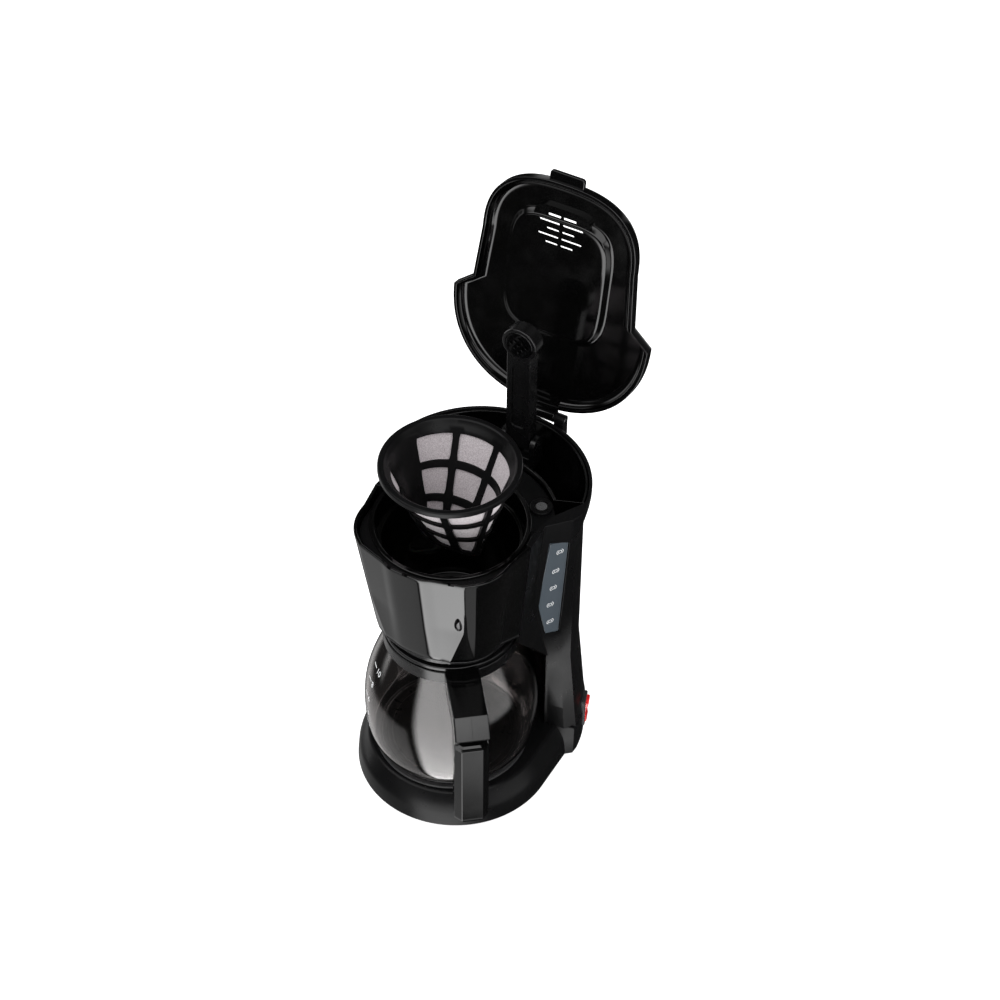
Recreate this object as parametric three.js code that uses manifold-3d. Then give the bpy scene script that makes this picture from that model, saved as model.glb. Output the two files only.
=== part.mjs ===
// Small drip coffee maker with a rising filter basket: body, tank, heater, lid, spray arm,
// permanent cone filter and glass jug. Millimetres, +Z up, front towards -Y, feet on z = 0.
import * as THREE from "three";
import { mergeVertices } from "three/addons/utils/BufferGeometryUtils.js";
import Module from "manifold-3d";

const wasm = await Module();
wasm.setup();

// ---- Driving dimensions ---------------------------------------------------------------

const wall = 2.4; // moulded shells
const gap = 0.3; // between pieces that touch
const slack = 0.6; // between pieces that slide or drop past each other

const rimHeight = 248; // top edge of the body
const brewY = -40; // axis of jug, basket and warming plate
const tankY = 2.6; // centre of the round back

const skirtBottom = 2;
const skirtTop = 14;
const deckHeight = 30;
const skirtRadius = 72.5;
const deckRadius = 64;
const baseFrontY = -34;

const shoulderHeight = 103; // where the wings beside the jug begin
const wingHeight = 150; // where the wings reach the brew head
const bulgeHeight = 173; // widest point of the gauge facet
const flareHeight = rimHeight - 28; // where the tank opens out to its rim
const wingFrontY = -38;
const columnRadius = 70.8;
const rimRadius = columnRadius + 5;
const columnFootRadius = columnRadius + 7.2;
const footHalfWidth = columnFootRadius - 0.5;
const jugBayRadius = 67.5; // hollow front of the column, round the jug

const tankFloor = 62;
const tankWall = 2;
const tankFrontRadius = jugBayRadius + 4.5;

const headBottom = 160;
const headTopHalfWidth = 57.5;
const headBottomHalfWidth = 47;
const headTopReach = 44;
const headBottomReach = 37.5;
const headTopCentreY = -58;
const headBottomCentreY = -52;
const headWall = 2.4;

const brewDeckTop = rimHeight - 5;
const brewDeckThickness = 2.5;
const basketMouthRadius = 51.6;
const basketFootRadius = 41.5;
const basketFloor = 153;
const basketWall = 2;
const filterLedge = rimHeight - 17.6;

const filterDepth = 76;
const filterRimRadius = 48.1;
const filterRimWidth = 4.2;
const filterRimHeight = 4.6;
const filterLift = 63.1; // lifted above its seat
const filterWall = 1;
const filterRib = 4.6;

const plateRadius = 52;
const plateTop = 33;
const jugRadius = 62.6;
const jugNeckRadius = 45.5;
const jugWall = 2;
const jugRim = 146;
const jugLidTop = 149.3;
const handleReach = 101; // tip of the bracket from the jug's axis
const handleTurn = 38.5; // degrees from the front towards +X
const handleWidth = 24;
const gripReach = 99.6;
const gripBack = 85.4;
const gripChamfer = 4.5;

const hingeY = tankY + columnRadius + 9.2;
const hingeZ = rimHeight + 0.9;
const lidOpenAngle = 100.1;
const lidHalfWidth = 75.5;
const lidNoseHalfWidth = 58;
const lidLength = 179;
const lidThickness = 9;
const hingeBarrelRadius = 4;
const hingePinRadius = 1.6;
const hingeTongueHalfWidth = 13.8;
const hingeEarWidth = 7.5;

const armPivotY = 58;
const armPivotZ = brewDeckTop;
const armLength = 88;
const armWidth = 18.5;
const armDepth = 11;
const sprayRadius = 13;

const armPinRadius = 1.6;

const footRadius = 7;
const screwHeadRadius = 3.4;
const screwRadius = 1.5;
const screwHoleRadius = 1.9;
const bossRadius = 8; // round the deck screws
const bossBore = 4.6;
const switchTurn = 20; // degrees round the back from +X
const switchZ = 27;
const switchWidth = 14;
const switchHeight = 26;

const fine = 36; // sides of large round parts
const coarse = 12; // sides of small round parts

// ---- Materials ------------------------------------------------------------------------

function finish(color, roughness, metalness = 0, opacity = 1) {
  return new THREE.MeshStandardMaterial({
    color, roughness, metalness, opacity, transparent: opacity < 1,
  });
}

const glossBlack = finish(0x0b0b0c, 0.12);
const satinBlack = finish(0x141415, 0.38);
const mattBlack = finish(0x1b1b1c, 0.6);
const smoke = finish(0x59636c, 0.15, 0, 0.75);
const clearGlass = finish(0xdde6e8, 0.05, 0, 0.3);
const steel = finish(0xb9bbbd, 0.3, 1);
const aluminium = finish(0xa9abad, 0.45, 1);
const ceramicWhite = finish(0xd8d5cc, 0.6);
const silicone = finish(0xd9d6cf, 0.7);
const greyRubber = finish(0x3a3a3c, 0.85);
const redClear = finish(0xc01818, 0.2, 0, 0.9);
const meshGrey = finish(0x9c9296, 0.7);

// ---- Solids ---------------------------------------------------------------------------

function signedVolume(geometry) {
  const p = geometry.getAttribute("position");
  const index = geometry.getIndex();
  const count = index ? index.count : p.count;
  const corner = [new THREE.Vector3(), new THREE.Vector3(), new THREE.Vector3()];
  let volume = 0;
  for (let i = 0; i < count; i += 3) {
    corner.forEach((v, k) => v.fromBufferAttribute(p, index ? index.getX(i + k) : i + k));
    volume += corner[0].dot(corner[1].cross(corner[2])) / 6;
  }
  return volume;
}

// Welds a geometry to bare positions with its faces pointing out.
function weld(geometry) {
  const bare = geometry.clone();
  bare.deleteAttribute("normal");
  bare.deleteAttribute("uv");
  const merged = mergeVertices(bare, 1e-4);
  if (signedVolume(merged) < 0) {
    const index = merged.getIndex();
    for (let i = 0; i < index.count; i += 3) {
      const first = index.getX(i);
      index.setX(i, index.getX(i + 1));
      index.setX(i + 1, first);
    }
  }
  return merged;
}

function toSolid(geometry) {
  const welded = weld(geometry);
  return new wasm.Manifold(new wasm.Mesh({
    numProp: 3,
    vertProperties: new Float32Array(welded.getAttribute("position").array),
    triVerts: new Uint32Array(welded.getIndex().array),
  }));
}

function toGeometry(solid) {
  const mesh = solid.getMesh();
  const geometry = new THREE.BufferGeometry();
  geometry.setAttribute("position", new THREE.BufferAttribute(mesh.vertProperties, 3));
  geometry.setIndex(new THREE.BufferAttribute(mesh.triVerts, 1));
  return geometry;
}

function cut(geometry, ...tools) {
  let solid = toSolid(geometry);
  for (const tool of tools) solid = solid.subtract(toSolid(tool));
  return toGeometry(solid);
}

function join(...geometries) {
  let solid = toSolid(geometries[0]);
  for (const other of geometries.slice(1)) solid = solid.add(toSolid(other));
  return toGeometry(solid);
}

function box(x0, x1, y0, y1, z0, z1) {
  const geometry = new THREE.BoxGeometry(x1 - x0, y1 - y0, z1 - z0);
  geometry.translate((x0 + x1) / 2, (y0 + y1) / 2, (z0 + z1) / 2);
  return geometry;
}

function cylinder(radius, z0, z1, x = 0, y = 0, sides = 16) {
  const geometry = new THREE.CylinderGeometry(radius, radius, z1 - z0, sides);
  geometry.rotateX(Math.PI / 2);
  geometry.translate(x, y, (z0 + z1) / 2);
  return geometry;
}

function cylinderX(radius, x0, x1, y, z, sides = 16) {
  const geometry = new THREE.CylinderGeometry(radius, radius, x1 - x0, sides);
  geometry.rotateZ(Math.PI / 2);
  geometry.translate((x0 + x1) / 2, y, z);
  return geometry;
}

// Turns a closed [radius, height] outline about the Z axis.
function turned(profile, sides = fine) {
  const points = profile.map(([r, z]) => new THREE.Vector2(r, z));
  const closes = profile[0][0] > 0 || profile.at(-1)[0] > 0;
  if (closes) points.push(points[0].clone());
  const geometry = new THREE.LatheGeometry(points, sides);
  geometry.rotateX(Math.PI / 2);
  return geometry;
}

function shapeOf(points) {
  return new THREE.Shape(points.map(([x, y]) => new THREE.Vector2(x, y)));
}

function prism(points, z0, z1, holes = []) {
  const shape = shapeOf(points);
  for (const hole of holes) shape.holes.push(shapeOf(hole));
  const geometry = new THREE.ExtrudeGeometry(shape, { depth: z1 - z0, bevelEnabled: false });
  geometry.translate(0, 0, z0);
  return geometry;
}

// Extrudes a [y, z] outline along X, from -width / 2 to width / 2.
function sideProfile(points, width) {
  const geometry = new THREE.ExtrudeGeometry(shapeOf(points), { depth: width, bevelEnabled: false });
  geometry.translate(0, 0, -width / 2);
  geometry.applyMatrix4(new THREE.Matrix4().makeBasis(
    new THREE.Vector3(0, 1, 0),
    new THREE.Vector3(0, 0, 1),
    new THREE.Vector3(1, 0, 0),
  ));
  return geometry;
}

function circle(radius, cx = 0, cy = 0, steps = 32) {
  return arc(cx, cy, radius, 0, 360 - 360 / steps, steps - 1);
}

// Skins a stack of outlines that have equal point counts, with flat ends.
function loft(rings) {
  const size = rings[0].points.length;
  const position = rings.flatMap(({ points, z }) => points.flatMap(([x, y]) => [x, y, z]));
  const faces = [];
  for (let r = 0; r + 1 < rings.length; r += 1) {
    for (let i = 0; i < size; i += 1) {
      const a = r * size + i;
      const b = r * size + ((i + 1) % size);
      faces.push(a, b, b + size, a, b + size, a + size);
    }
  }
  const last = (rings.length - 1) * size;
  const cap = (ring) => THREE.ShapeUtils.triangulateShape(
    ring.points.map(([x, y]) => new THREE.Vector2(x, y)), [],
  );
  for (const [a, b, c] of cap(rings[0])) faces.push(a, c, b);
  for (const [a, b, c] of cap(rings.at(-1))) faces.push(last + a, last + b, last + c);
  const geometry = new THREE.BufferGeometry();
  geometry.setAttribute("position", new THREE.Float32BufferAttribute(position, 3));
  geometry.setIndex(faces);
  return geometry;
}

function hose(points, outer, inner, steps, sides = 8) {
  const shape = shapeOf(circle(outer, 0, 0, sides));
  shape.holes.push(shapeOf(circle(inner, 0, 0, sides)));
  const path = new THREE.CatmullRomCurve3(points.map((p) => new THREE.Vector3(...p)));
  return new THREE.ExtrudeGeometry(shape, { steps, extrudePath: path, bevelEnabled: false });
}

// ---- Outlines -------------------------------------------------------------------------

const rad = THREE.MathUtils.degToRad;
const mix = THREE.MathUtils.lerp;

function arc(cx, cy, radius, from, to, steps) {
  return Array.from({ length: steps + 1 }, (_, i) => {
    const angle = rad(mix(from, to, i / steps));
    return [cx + radius * Math.cos(angle), cy + radius * Math.sin(angle)];
  });
}

// Part of a superellipse, from one angle to another in degrees.
function bow(cx, cy, halfWidth, reach, power, from, to, steps) {
  return Array.from({ length: steps + 1 }, (_, i) => {
    const angle = rad(mix(from, to, i / steps));
    const c = Math.cos(angle);
    const s = Math.sin(angle);
    return [
      cx + halfWidth * Math.sign(c) * Math.abs(c) ** (2 / power),
      cy + reach * Math.sign(s) * Math.abs(s) ** (2 / power),
    ];
  });
}

function mirrored(points) {
  return points.map(([x, y]) => [-x, y]).reverse();
}

// Plan outline of the base at one height.
function baseOutline(front, foot) {
  const side = [[front, 1.6], [foot - 0.7, 5.2]];
  return [
    ...arc(0, baseFrontY, front, 180, 360, 20),
    ...side,
    ...arc(0, tankY, foot, 6, 174, 20),
    ...mirrored(side),
  ];
}

// Plan outline of the column: round back, slanting gauge facets, wings and a hollow front.
const shoulderFront = { front: jugBayRadius, open: 38 };
const columnLevels = [
  {
    z: deckHeight - 1, rear: columnFootRadius - 0.6, ...shoulderFront,
    edge: [columnRadius - 0.4, 2.2], facet: [columnRadius - 13.8, 0.8], wing: [55.5, -0.5],
  },
  {
    z: shoulderHeight, rear: columnRadius, ...shoulderFront,
    edge: [columnRadius - 6.8, 4.7], facet: [columnRadius - 14.3, 0.2], wing: [55.3, -0.5],
  },
  {
    z: wingHeight, rear: columnRadius, front: 50.5, open: 3,
    edge: [columnRadius - 3.7, 3], facet: [columnRadius - 15.3, -15.4], wing: [53.5, wingFrontY],
  },
  {
    z: bulgeHeight, rear: columnRadius, front: 51.5, open: 3,
    edge: [columnRadius - 2.3, 2.1], facet: [columnRadius - 15.8, -23], wing: [54.7, wingFrontY],
  },
  {
    z: flareHeight, rear: columnRadius, front: 55, open: 3,
    edge: [columnRadius + 0.7, 0.3], facet: [columnRadius - 13, -18.5], wing: [58.8, wingFrontY],
  },
  {
    z: rimHeight, rear: rimRadius, front: 56.8, open: 3,
    edge: [columnRadius + 2.4, -0.6], facet: [columnRadius - 11.4, -16], wing: [61, wingFrontY],
  },
];
const [, shoulder, wingLevel, bulge, flare, rimLevel] = columnLevels;

function columnOutline({ rear, edge, facet, wing, front, open }) {
  const side = [wing, facet, edge];
  return [
    ...side,
    ...arc(0, tankY, rear, 4, 176, 24),
    ...mirrored(side),
    ...arc(0, brewY, front, 180 - open, open, 18),
  ];
}

// Crescent between the round back and the front wall of the column or the tank.
function crescent(rear, front, frontFrom) {
  return [
    ...arc(0, tankY, rear, 12, 168, 22),
    ...arc(0, brewY, front, 180 - frontFrom, frontFrom, 16),
  ];
}

// Outline of the brew head at a height: front bow and the sides back to the wings.
function headSizes(z) {
  const t = (z - headBottom) / (rimHeight - headBottom);
  return {
    halfWidth: mix(headBottomHalfWidth, headTopHalfWidth, t),
    reach: mix(headBottomReach, headTopReach, t),
    centreY: mix(headBottomCentreY, headTopCentreY, t),
    seam: mix(53.9, 60.8, t),
  };
}

function headOutline(z, inset) {
  const { halfWidth, reach, centreY, seam } = headSizes(z);
  const seamY = wingFrontY - gap;
  return [
    [-(seam - inset), seamY],
    ...bow(0, centreY, halfWidth - inset, reach - inset, 2.3, 180, 360, 24),
    [seam - inset, seamY],
  ];
}

// Lid outline in its own frame: hinge at the origin, nose towards -Y.
const lidRearCentre = -78;
const lidNoseCentre = -128;
const lidRearReach = 72.5;
const lidStepY = [-87.8, -76.7];
const lidStepHalfWidth = 61.5;
function lidOutline(inset) {
  const step = [[lidStepHalfWidth - inset, lidStepY[0]], [lidHalfWidth - inset, lidStepY[1]]];
  const noseReach = lidLength + lidNoseCentre - inset;
  return [
    ...bow(0, lidNoseCentre, lidNoseHalfWidth - inset, noseReach, 2.6, 180, 360, 24),
    ...step,
    ...bow(0, lidRearCentre, lidHalfWidth - inset, lidRearReach - inset, 2.25, 1, 179, 24),
    ...mirrored(step),
  ];
}

// ---- Assembly -------------------------------------------------------------------------

const coffeeMaker = new THREE.Group();

function add(name, geometry, material, parent = coffeeMaker) {
  const mesh = new THREE.Mesh(weld(geometry), material);
  mesh.name = name;
  parent.add(mesh);
  return mesh;
}

// ---- Body: base and column in one moulding --------------------------------------------

const hingeEars = [-1, 1].map((side) => {
  const near = side * (hingeTongueHalfWidth + slack);
  const far = near + side * hingeEarWidth;
  const ear = join(
    box(Math.min(near, far), Math.max(near, far), hingeY - 9, hingeY + 3.4, hingeZ - 14, hingeZ - 5),
    box(Math.min(near, far), Math.max(near, far), hingeY - 3.4, hingeY + 3.4, hingeZ - 6, hingeZ),
    cylinderX(hingeBarrelRadius, Math.min(near, far), Math.max(near, far), hingeY, hingeZ),
  );
  return ear;
});
const hingePinHole = cylinderX(hingePinRadius + gap, -60, 60, hingeY, hingeZ, 16);

function deckOutlineGrown(grow) {
  const rear = tankFrontRadius - 0.7 + grow;
  const side = [[58.3 + grow, -6], [55.4 + grow, -20], [55.2 + grow, wingFrontY - gap]];
  return { rear, side };
}

const brewDeckBottom = brewDeckTop - brewDeckThickness;
function brewDeckOutline(grow) {
  const { rear, side } = deckOutlineGrown(grow);
  const { halfWidth, reach, centreY } = headSizes(brewDeckBottom);
  const inset = headWall + slack - grow;
  return [
    ...bow(0, centreY, halfWidth - inset, reach - inset, 2.3, 180, 360, 24),
    ...side.slice().reverse(),
    ...arc(0, brewY, rear, 32, 148, 18),
    ...mirrored(side.slice().reverse()),
  ];
}

const armSlot = box(-armWidth / 2 - 1.6, armWidth / 2 + 1.6, brewY + 40, armPivotY - 5,
  armPivotZ - armDepth / 2 - 1.2, rimHeight + 5);

// Frame of the right gauge window, sunk into its facet: u across, v up, n outward.
const gaugeSink = 1.4;
function gaugeFrame() {
  const onLevel = (level, [x, y]) => new THREE.Vector3(x, y, level.z);
  const origin = onLevel(shoulder, shoulder.edge);
  const up = onLevel(rimLevel, rimLevel.edge).sub(origin).normalize();
  const across = onLevel(bulge, bulge.facet).sub(onLevel(bulge, bulge.edge));
  across.addScaledVector(up, -across.dot(up)).normalize();
  const normal = new THREE.Vector3().crossVectors(up, across).normalize();
  origin.addScaledVector(normal, -gaugeSink);
  return { origin, up, across, normal };
}

const gaugeWindowLow = 28;
const gaugeWindowHigh = 126;
const gaugeWindowKnee = 68.5;
const gaugePane = 2.4;
const gaugeOutline = [
  [1.7, gaugeWindowHigh - 3], [3, gaugeWindowLow], [14.1, gaugeWindowLow + 4],
  [22.9, gaugeWindowKnee], [16.6, gaugeWindowHigh + 2],
];

function onGauge(points, depthIn, depthOut) {
  const { origin, up, across, normal } = gaugeFrame();
  const geometry = prism(points, -depthIn, depthOut);
  geometry.applyMatrix4(new THREE.Matrix4().makeBasis(across, up, normal).setPosition(origin));
  return geometry;
}

// Moves every edge of a closed outline out by the same amount.
function grown(points, amount) {
  const turn = Math.sign(THREE.ShapeUtils.area(points.map(([x, y]) => new THREE.Vector2(x, y))));
  const normal = ([x0, y0], [x1, y1]) => {
    const length = Math.hypot(x1 - x0, y1 - y0);
    return [(turn * (y1 - y0)) / length, (-turn * (x1 - x0)) / length];
  };
  return points.map((point, i) => {
    const [ax, ay] = normal(points.at(i - 1), point);
    const [bx, by] = normal(point, points[(i + 1) % points.length]);
    const scale = amount / (1 + ax * bx + ay * by);
    return [point[0] + (ax + bx) * scale, point[1] + (ay + by) * scale];
  });
}

const switchX = columnFootRadius * Math.cos(rad(switchTurn));
const switchY = tankY + columnFootRadius * Math.sin(rad(switchTurn));

function onSwitch(geometry) {
  geometry.rotateZ(rad(switchTurn));
  geometry.translate(switchX, switchY, switchZ);
  return geometry;
}

const glandZ = 16;
const glandRadius = 6;
const glandBore = 3.2;
const backY = tankY + footHalfWidth + 0.5;

function yCylinder(radius, y0, y1, x, z, sides = 20) {
  const geometry = new THREE.CylinderGeometry(radius, radius, y1 - y0, sides);
  geometry.translate(x, (y0 + y1) / 2, z);
  return geometry;
}

const baseSolid = loft([
  { points: baseOutline(skirtRadius, footHalfWidth), z: skirtBottom },
  { points: baseOutline(skirtRadius - 1, columnFootRadius), z: skirtTop },
  { points: baseOutline(deckRadius, columnFootRadius), z: deckHeight },
]);
const columnSolid = loft(columnLevels.map((level) => ({ points: columnOutline(level), z: level.z })));
const baseHollow = loft([
  { points: baseOutline(skirtRadius - wall, footHalfWidth - wall), z: skirtBottom - 1 },
  { points: baseOutline(skirtRadius - 1 - wall, columnFootRadius - wall), z: skirtTop },
  { points: baseOutline(deckRadius - wall + 2, columnFootRadius - wall), z: deckHeight - wall },
]);
const cavityLevels = [
  { z: deckHeight - wall - 1, rear: columnFootRadius - 0.8, front: jugBayRadius, from: 42 },
  { z: shoulderHeight, rear: columnRadius, front: jugBayRadius, from: 42 },
  { z: wingHeight, rear: columnRadius, front: wingLevel.front + 4, from: 25 },
  { z: bulgeHeight, rear: columnRadius, front: bulge.front + 2, from: 25 },
  { z: flareHeight, rear: columnRadius, front: flare.front, from: 25 },
  { z: rimHeight + 1, rear: rimRadius, front: rimLevel.front, from: 25 },
];
const columnHollow = loft(cavityLevels.map(({ z, rear, front, from }) => ({
  points: crescent(rear - wall, front + wall, from), z,
})));

const screwPlaces = [[-56, brewY], [56, brewY], [-34, 19], [34, 19]];
const coverTop = skirtBottom + 2.8;
const screwBosses = screwPlaces.map(([x, y]) => cut(
  cylinder(4, coverTop + gap, deckHeight - 1, x, y, 16),
  cylinder(screwHoleRadius, coverTop, deckHeight - 8, x, y, 12),
));

add("body_shell", cut(
  join(cut(join(baseSolid, columnSolid), baseHollow, columnHollow), ...hingeEars, ...screwBosses),
  cylinder(plateRadius - 4, deckHeight - wall - 2, deckHeight + 1, 0, brewY, fine),
  prism(brewDeckOutline(slack), brewDeckBottom - gap, rimHeight + 2),
  armSlot,
  hingePinHole,
  onGauge(grown(gaugeOutline, gap), gaugePane + gap, 5),
  onSwitch(box(-12, 6, -switchWidth / 2 - gap, switchWidth / 2 + gap, -switchHeight / 2 - gap,
    switchHeight / 2 + gap)),
  yCylinder(glandRadius + gap, backY - 12, backY + 6, 0, glandZ),
), satinBlack);

add("gauge_window", onGauge(gaugeOutline, gaugePane, 0), smoke);

add("cord_gland", cut(
  join(
    yCylinder(glandRadius, backY - 7, backY + 1, 0, glandZ),
    yCylinder(glandRadius + 2, backY + gap, backY + 2, 0, glandZ),
  ),
  yCylinder(glandBore, backY - 8, backY + 3, 0, glandZ, 16),
), greyRubber);

// ---- Underside --------------------------------------------------------------------------

const footPlaces = [[-46, -66], [46, -66], [-48, 36], [48, 36]];
const coverBottom = skirtBottom + 0.6;
add("bottom_cover", cut(
  prism(baseOutline(skirtRadius - wall - slack, footHalfWidth - wall - slack), coverBottom, coverTop),
  ...screwPlaces.map(([x, y]) => cylinder(screwHoleRadius, 0, 9, x, y, 12)),
  ...footPlaces.map(([x, y]) => cylinder(3.3, 0, 9, x, y, 16)),
), mattBlack);

footPlaces.forEach(([x, y], i) => {
  const foot = turned([
    [0, 0], [footRadius - 0.8, 0], [footRadius, 0.8], [footRadius, coverBottom - gap],
    [3, coverBottom - gap], [3, coverTop + gap], [4, coverTop + 1], [2.4, coverTop + 2.4],
    [0, coverTop + 2.4],
  ], coarse);
  foot.translate(x, y, 0);
  add(`foot_${i + 1}`, foot, greyRubber);
});

screwPlaces.forEach(([x, y], i) => {
  const top = coverBottom - gap;
  add(`bottom_screw_${i + 1}`, join(
    cylinder(screwHeadRadius, top - 1.5, top, x, y, coarse),
    cylinder(screwRadius, top - 0.5, deckHeight - 10, x, y, 8),
  ), steel);
});

// ---- Warming plate and heater -----------------------------------------------------------

const plateUnder = deckHeight - 1;
const plate = turned([
  [0, plateTop], [plateRadius - 3, plateTop], [plateRadius, plateTop - 1],
  [plateRadius, deckHeight + gap], [plateRadius - 4.7, deckHeight + gap],
  [plateRadius - 4.7, plateUnder], [0, plateUnder],
]);
plate.translate(0, brewY, 0);
add("warming_plate", plate, aluminium);

const plateRing = turned([
  [plateRadius + 0.4, deckHeight + gap], [plateRadius + 4, deckHeight + gap],
  [plateRadius + 3.4, deckHeight + 1.6], [plateRadius + 0.4, deckHeight + 2],
]);
plateRing.translate(0, brewY, 0);
add("plate_ring", plateRing, mattBlack);

const heaterRadius = 36;
const heaterTube = 4;
const heaterZ = plateUnder - gap - heaterTube;
const heaterEndX = 14;
const heaterEndY = 8;
const hoseRadius = 4.4;
const hoseBore = 3;
const hoseZ = deckHeight - wall - hoseRadius - 1.7; // where a hose passes under the deck
const heaterEnd = [[heaterEndX, heaterEndY, hoseZ], [heaterEndX + 2, heaterEndY - 10, hoseZ + 0.6]];
const heaterPath = [
  ...heaterEnd,
  ...arc(0, brewY, heaterRadius, 52, -232, 12).map(([x, y]) => [x, y, heaterZ]),
  ...heaterEnd.map(([x, y, z]) => [-x, y, z]).reverse(),
];
add("heating_element", new THREE.ExtrudeGeometry(shapeOf(circle(heaterTube, 0, 0, 8)), {
  steps: 32,
  extrudePath: new THREE.CatmullRomCurve3(heaterPath.map((p) => new THREE.Vector3(...p))),
  bevelEnabled: false,
}), aluminium);

const bracketTop = heaterZ - heaterTube - gap;
add("heater_bracket", join(
  box(-44, 44, brewY - 6, brewY + 6, bracketTop - 1.6, bracketTop),
  box(-6, 6, brewY - 30, brewY + 30, bracketTop - 1.6, bracketTop),
), steel);
add("thermostat", cylinder(7.5, bracketTop + gap, plateUnder - gap, 0, brewY, 20), ceramicWhite);
const fuse = cylinderX(2.2, -9, 9, brewY - 17, plateUnder - gap - 2.2, 12);
add("thermal_fuse", fuse, steel);

// ---- Water path --------------------------------------------------------------------------

const tankRear = columnRadius - wall - slack;
const tankRimRear = rimRadius - wall - slack;
const tankTop = rimHeight - 0.8;
const tankAngle = 44;
const outletX = 25;
const outletY = 46;
const riserRadius = 4.2;
function tankLoft(inset, floor, top) {
  return loft([
    { points: crescent(tankRear - inset, tankFrontRadius + inset, tankAngle), z: floor },
    { points: crescent(tankRear - inset, tankFrontRadius + inset, tankAngle), z: flareHeight - 1 },
    { points: crescent(tankRimRear - inset, tankFrontRadius + inset, tankAngle), z: top },
  ]);
}
add("water_tank", cut(
  tankLoft(0, tankFloor, tankTop),
  tankLoft(tankWall, tankFloor + tankWall, tankTop + 1),
  cylinder(3.9, tankFloor - 1, tankFloor + 4, outletX, outletY, 16),
  cylinder(riserRadius + gap, tankFloor - 1, tankFloor + 4, 0, armPivotY, 16),
  armSlot,
), satinBlack);

const valveBottom = tankFloor - 12;
const checkValve = turned([
  [2, valveBottom - 4], [3.2, valveBottom - 4], [3.2, valveBottom], [5.5, valveBottom],
  [5.5, tankFloor - gap], [3.6, tankFloor - gap], [3.6, tankFloor + 3.5], [2, tankFloor + 3.5],
], coarse);
checkValve.translate(outletX, outletY, 0);
add("check_valve", checkValve, mattBlack);

const hoseStartY = heaterEndY + 2.5 * slack;
add("cold_hose", hose([
  [outletX, outletY, valveBottom - 4.4], [outletX, outletY, 36], [outletX - 1.5, outletY - 8, 26],
  [heaterEndX + 5, 26, hoseZ], [heaterEndX + 0.5, 15, hoseZ], [heaterEndX, hoseStartY, hoseZ],
], hoseRadius, hoseBore, 14), silicone);

const riserBottom = tankFloor - 14;
add("hot_hose", hose([
  [-heaterEndX, hoseStartY, hoseZ], [-heaterEndX - 0.5, 15, hoseZ],
  [-heaterEndX + 3, 26, hoseZ], [-4, 42, 25], [0, armPivotY, 36], [0, armPivotY, riserBottom - 0.4],
], hoseRadius, hoseBore, 14), silicone);

const blockBottom = armPivotZ - 19;
const riser = turned([
  [3, riserBottom], [riserRadius, riserBottom], [riserRadius, blockBottom - gap],
  [3, blockBottom - gap],
], coarse);
riser.translate(0, armPivotY, 0);
add("riser_tube", riser, mattBlack);

const earInner = armWidth / 2 + slack;
const earOuter = earInner + 4;
add("pivot_block", cut(
  join(
    box(-earOuter, earOuter, armPivotY - 7, armPivotY + 7, blockBottom, armPivotZ - 11),
    box(-earOuter, -earInner, armPivotY - 7, armPivotY + 7, armPivotZ - 12, armPivotZ + 5),
    box(earInner, earOuter, armPivotY - 7, armPivotY + 7, armPivotZ - 12, armPivotZ + 5),
  ),
  cylinder(2.6, blockBottom - 1, armPivotZ - 9, 0, armPivotY, 16),
  cylinderX(armPinRadius + gap, -40, 40, armPivotY, armPivotZ, 16),
), satinBlack);

// ---- Brew head -----------------------------------------------------------------------------

function headRing(z) {
  return { points: [...headOutline(z, 0), ...headOutline(z, headWall).reverse()], z };
}
add("front_housing", loft([headRing(headBottom), headRing(rimHeight)]), glossBlack);

const coverPlateTop = headBottom - gap;
const coverPlateBottom = coverPlateTop - wall;
const coverHole = basketFootRadius + 2.1;
const coverRear = 49.6;
const { halfWidth: footWidth, reach: footReach, centreY: footY, seam: footSeam } = headSizes(headBottom);
const lip = turned([
  [coverHole, 151], [coverHole + 1.9, 151], [coverHole + 1.9, coverPlateTop - 0.5],
  [coverHole, coverPlateTop - 0.5],
]);
lip.translate(0, brewY, 0);
add("lower_cover", join(
  prism([
    ...bow(0, footY, footWidth - 0.4, footReach - 0.4, 2.3, 180, 360, 24),
    [footSeam - 0.4, wingFrontY - slack],
    ...arc(0, brewY, coverRear, 3, 177, 20),
    [-footSeam + 0.4, wingFrontY - slack],
  ], coverPlateBottom, coverPlateTop, [circle(coverHole, 0, brewY, fine).reverse()]),
  lip,
), satinBlack);

const bossPlaces = [[-46.6, 2.6], [46.6, 2.6]];
const deckHoleRadius = basketMouthRadius + 2.3;
add("brew_deck", cut(
  join(
    prism(brewDeckOutline(0), brewDeckBottom, brewDeckTop),
    ...bossPlaces.map(([x, y]) => cylinder(bossRadius, brewDeckTop - 1, brewDeckTop + 2.6, x, y, 28)),
  ),
  cylinder(deckHoleRadius, brewDeckBottom - 1, brewDeckTop + 1, 0, brewY, fine),
  armSlot,
  ...bossPlaces.map(([x, y]) => cylinder(bossBore, brewDeckTop + 0.4, brewDeckTop + 4, x, y, 20)),
  ...bossPlaces.map(([x, y]) => cylinder(screwHoleRadius, brewDeckBottom - 1, brewDeckTop + 4, x, y, 12)),
), satinBlack);
bossPlaces.forEach(([x, y], i) => {
  add(`deck_screw_${i + 1}`, join(
    cylinder(bossBore - slack, brewDeckTop + 0.7, brewDeckTop + 2.2, x, y, 16),
    cylinder(screwRadius, brewDeckBottom - 8, brewDeckTop + 1.5, x, y, 12),
  ), steel);
});

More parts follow.
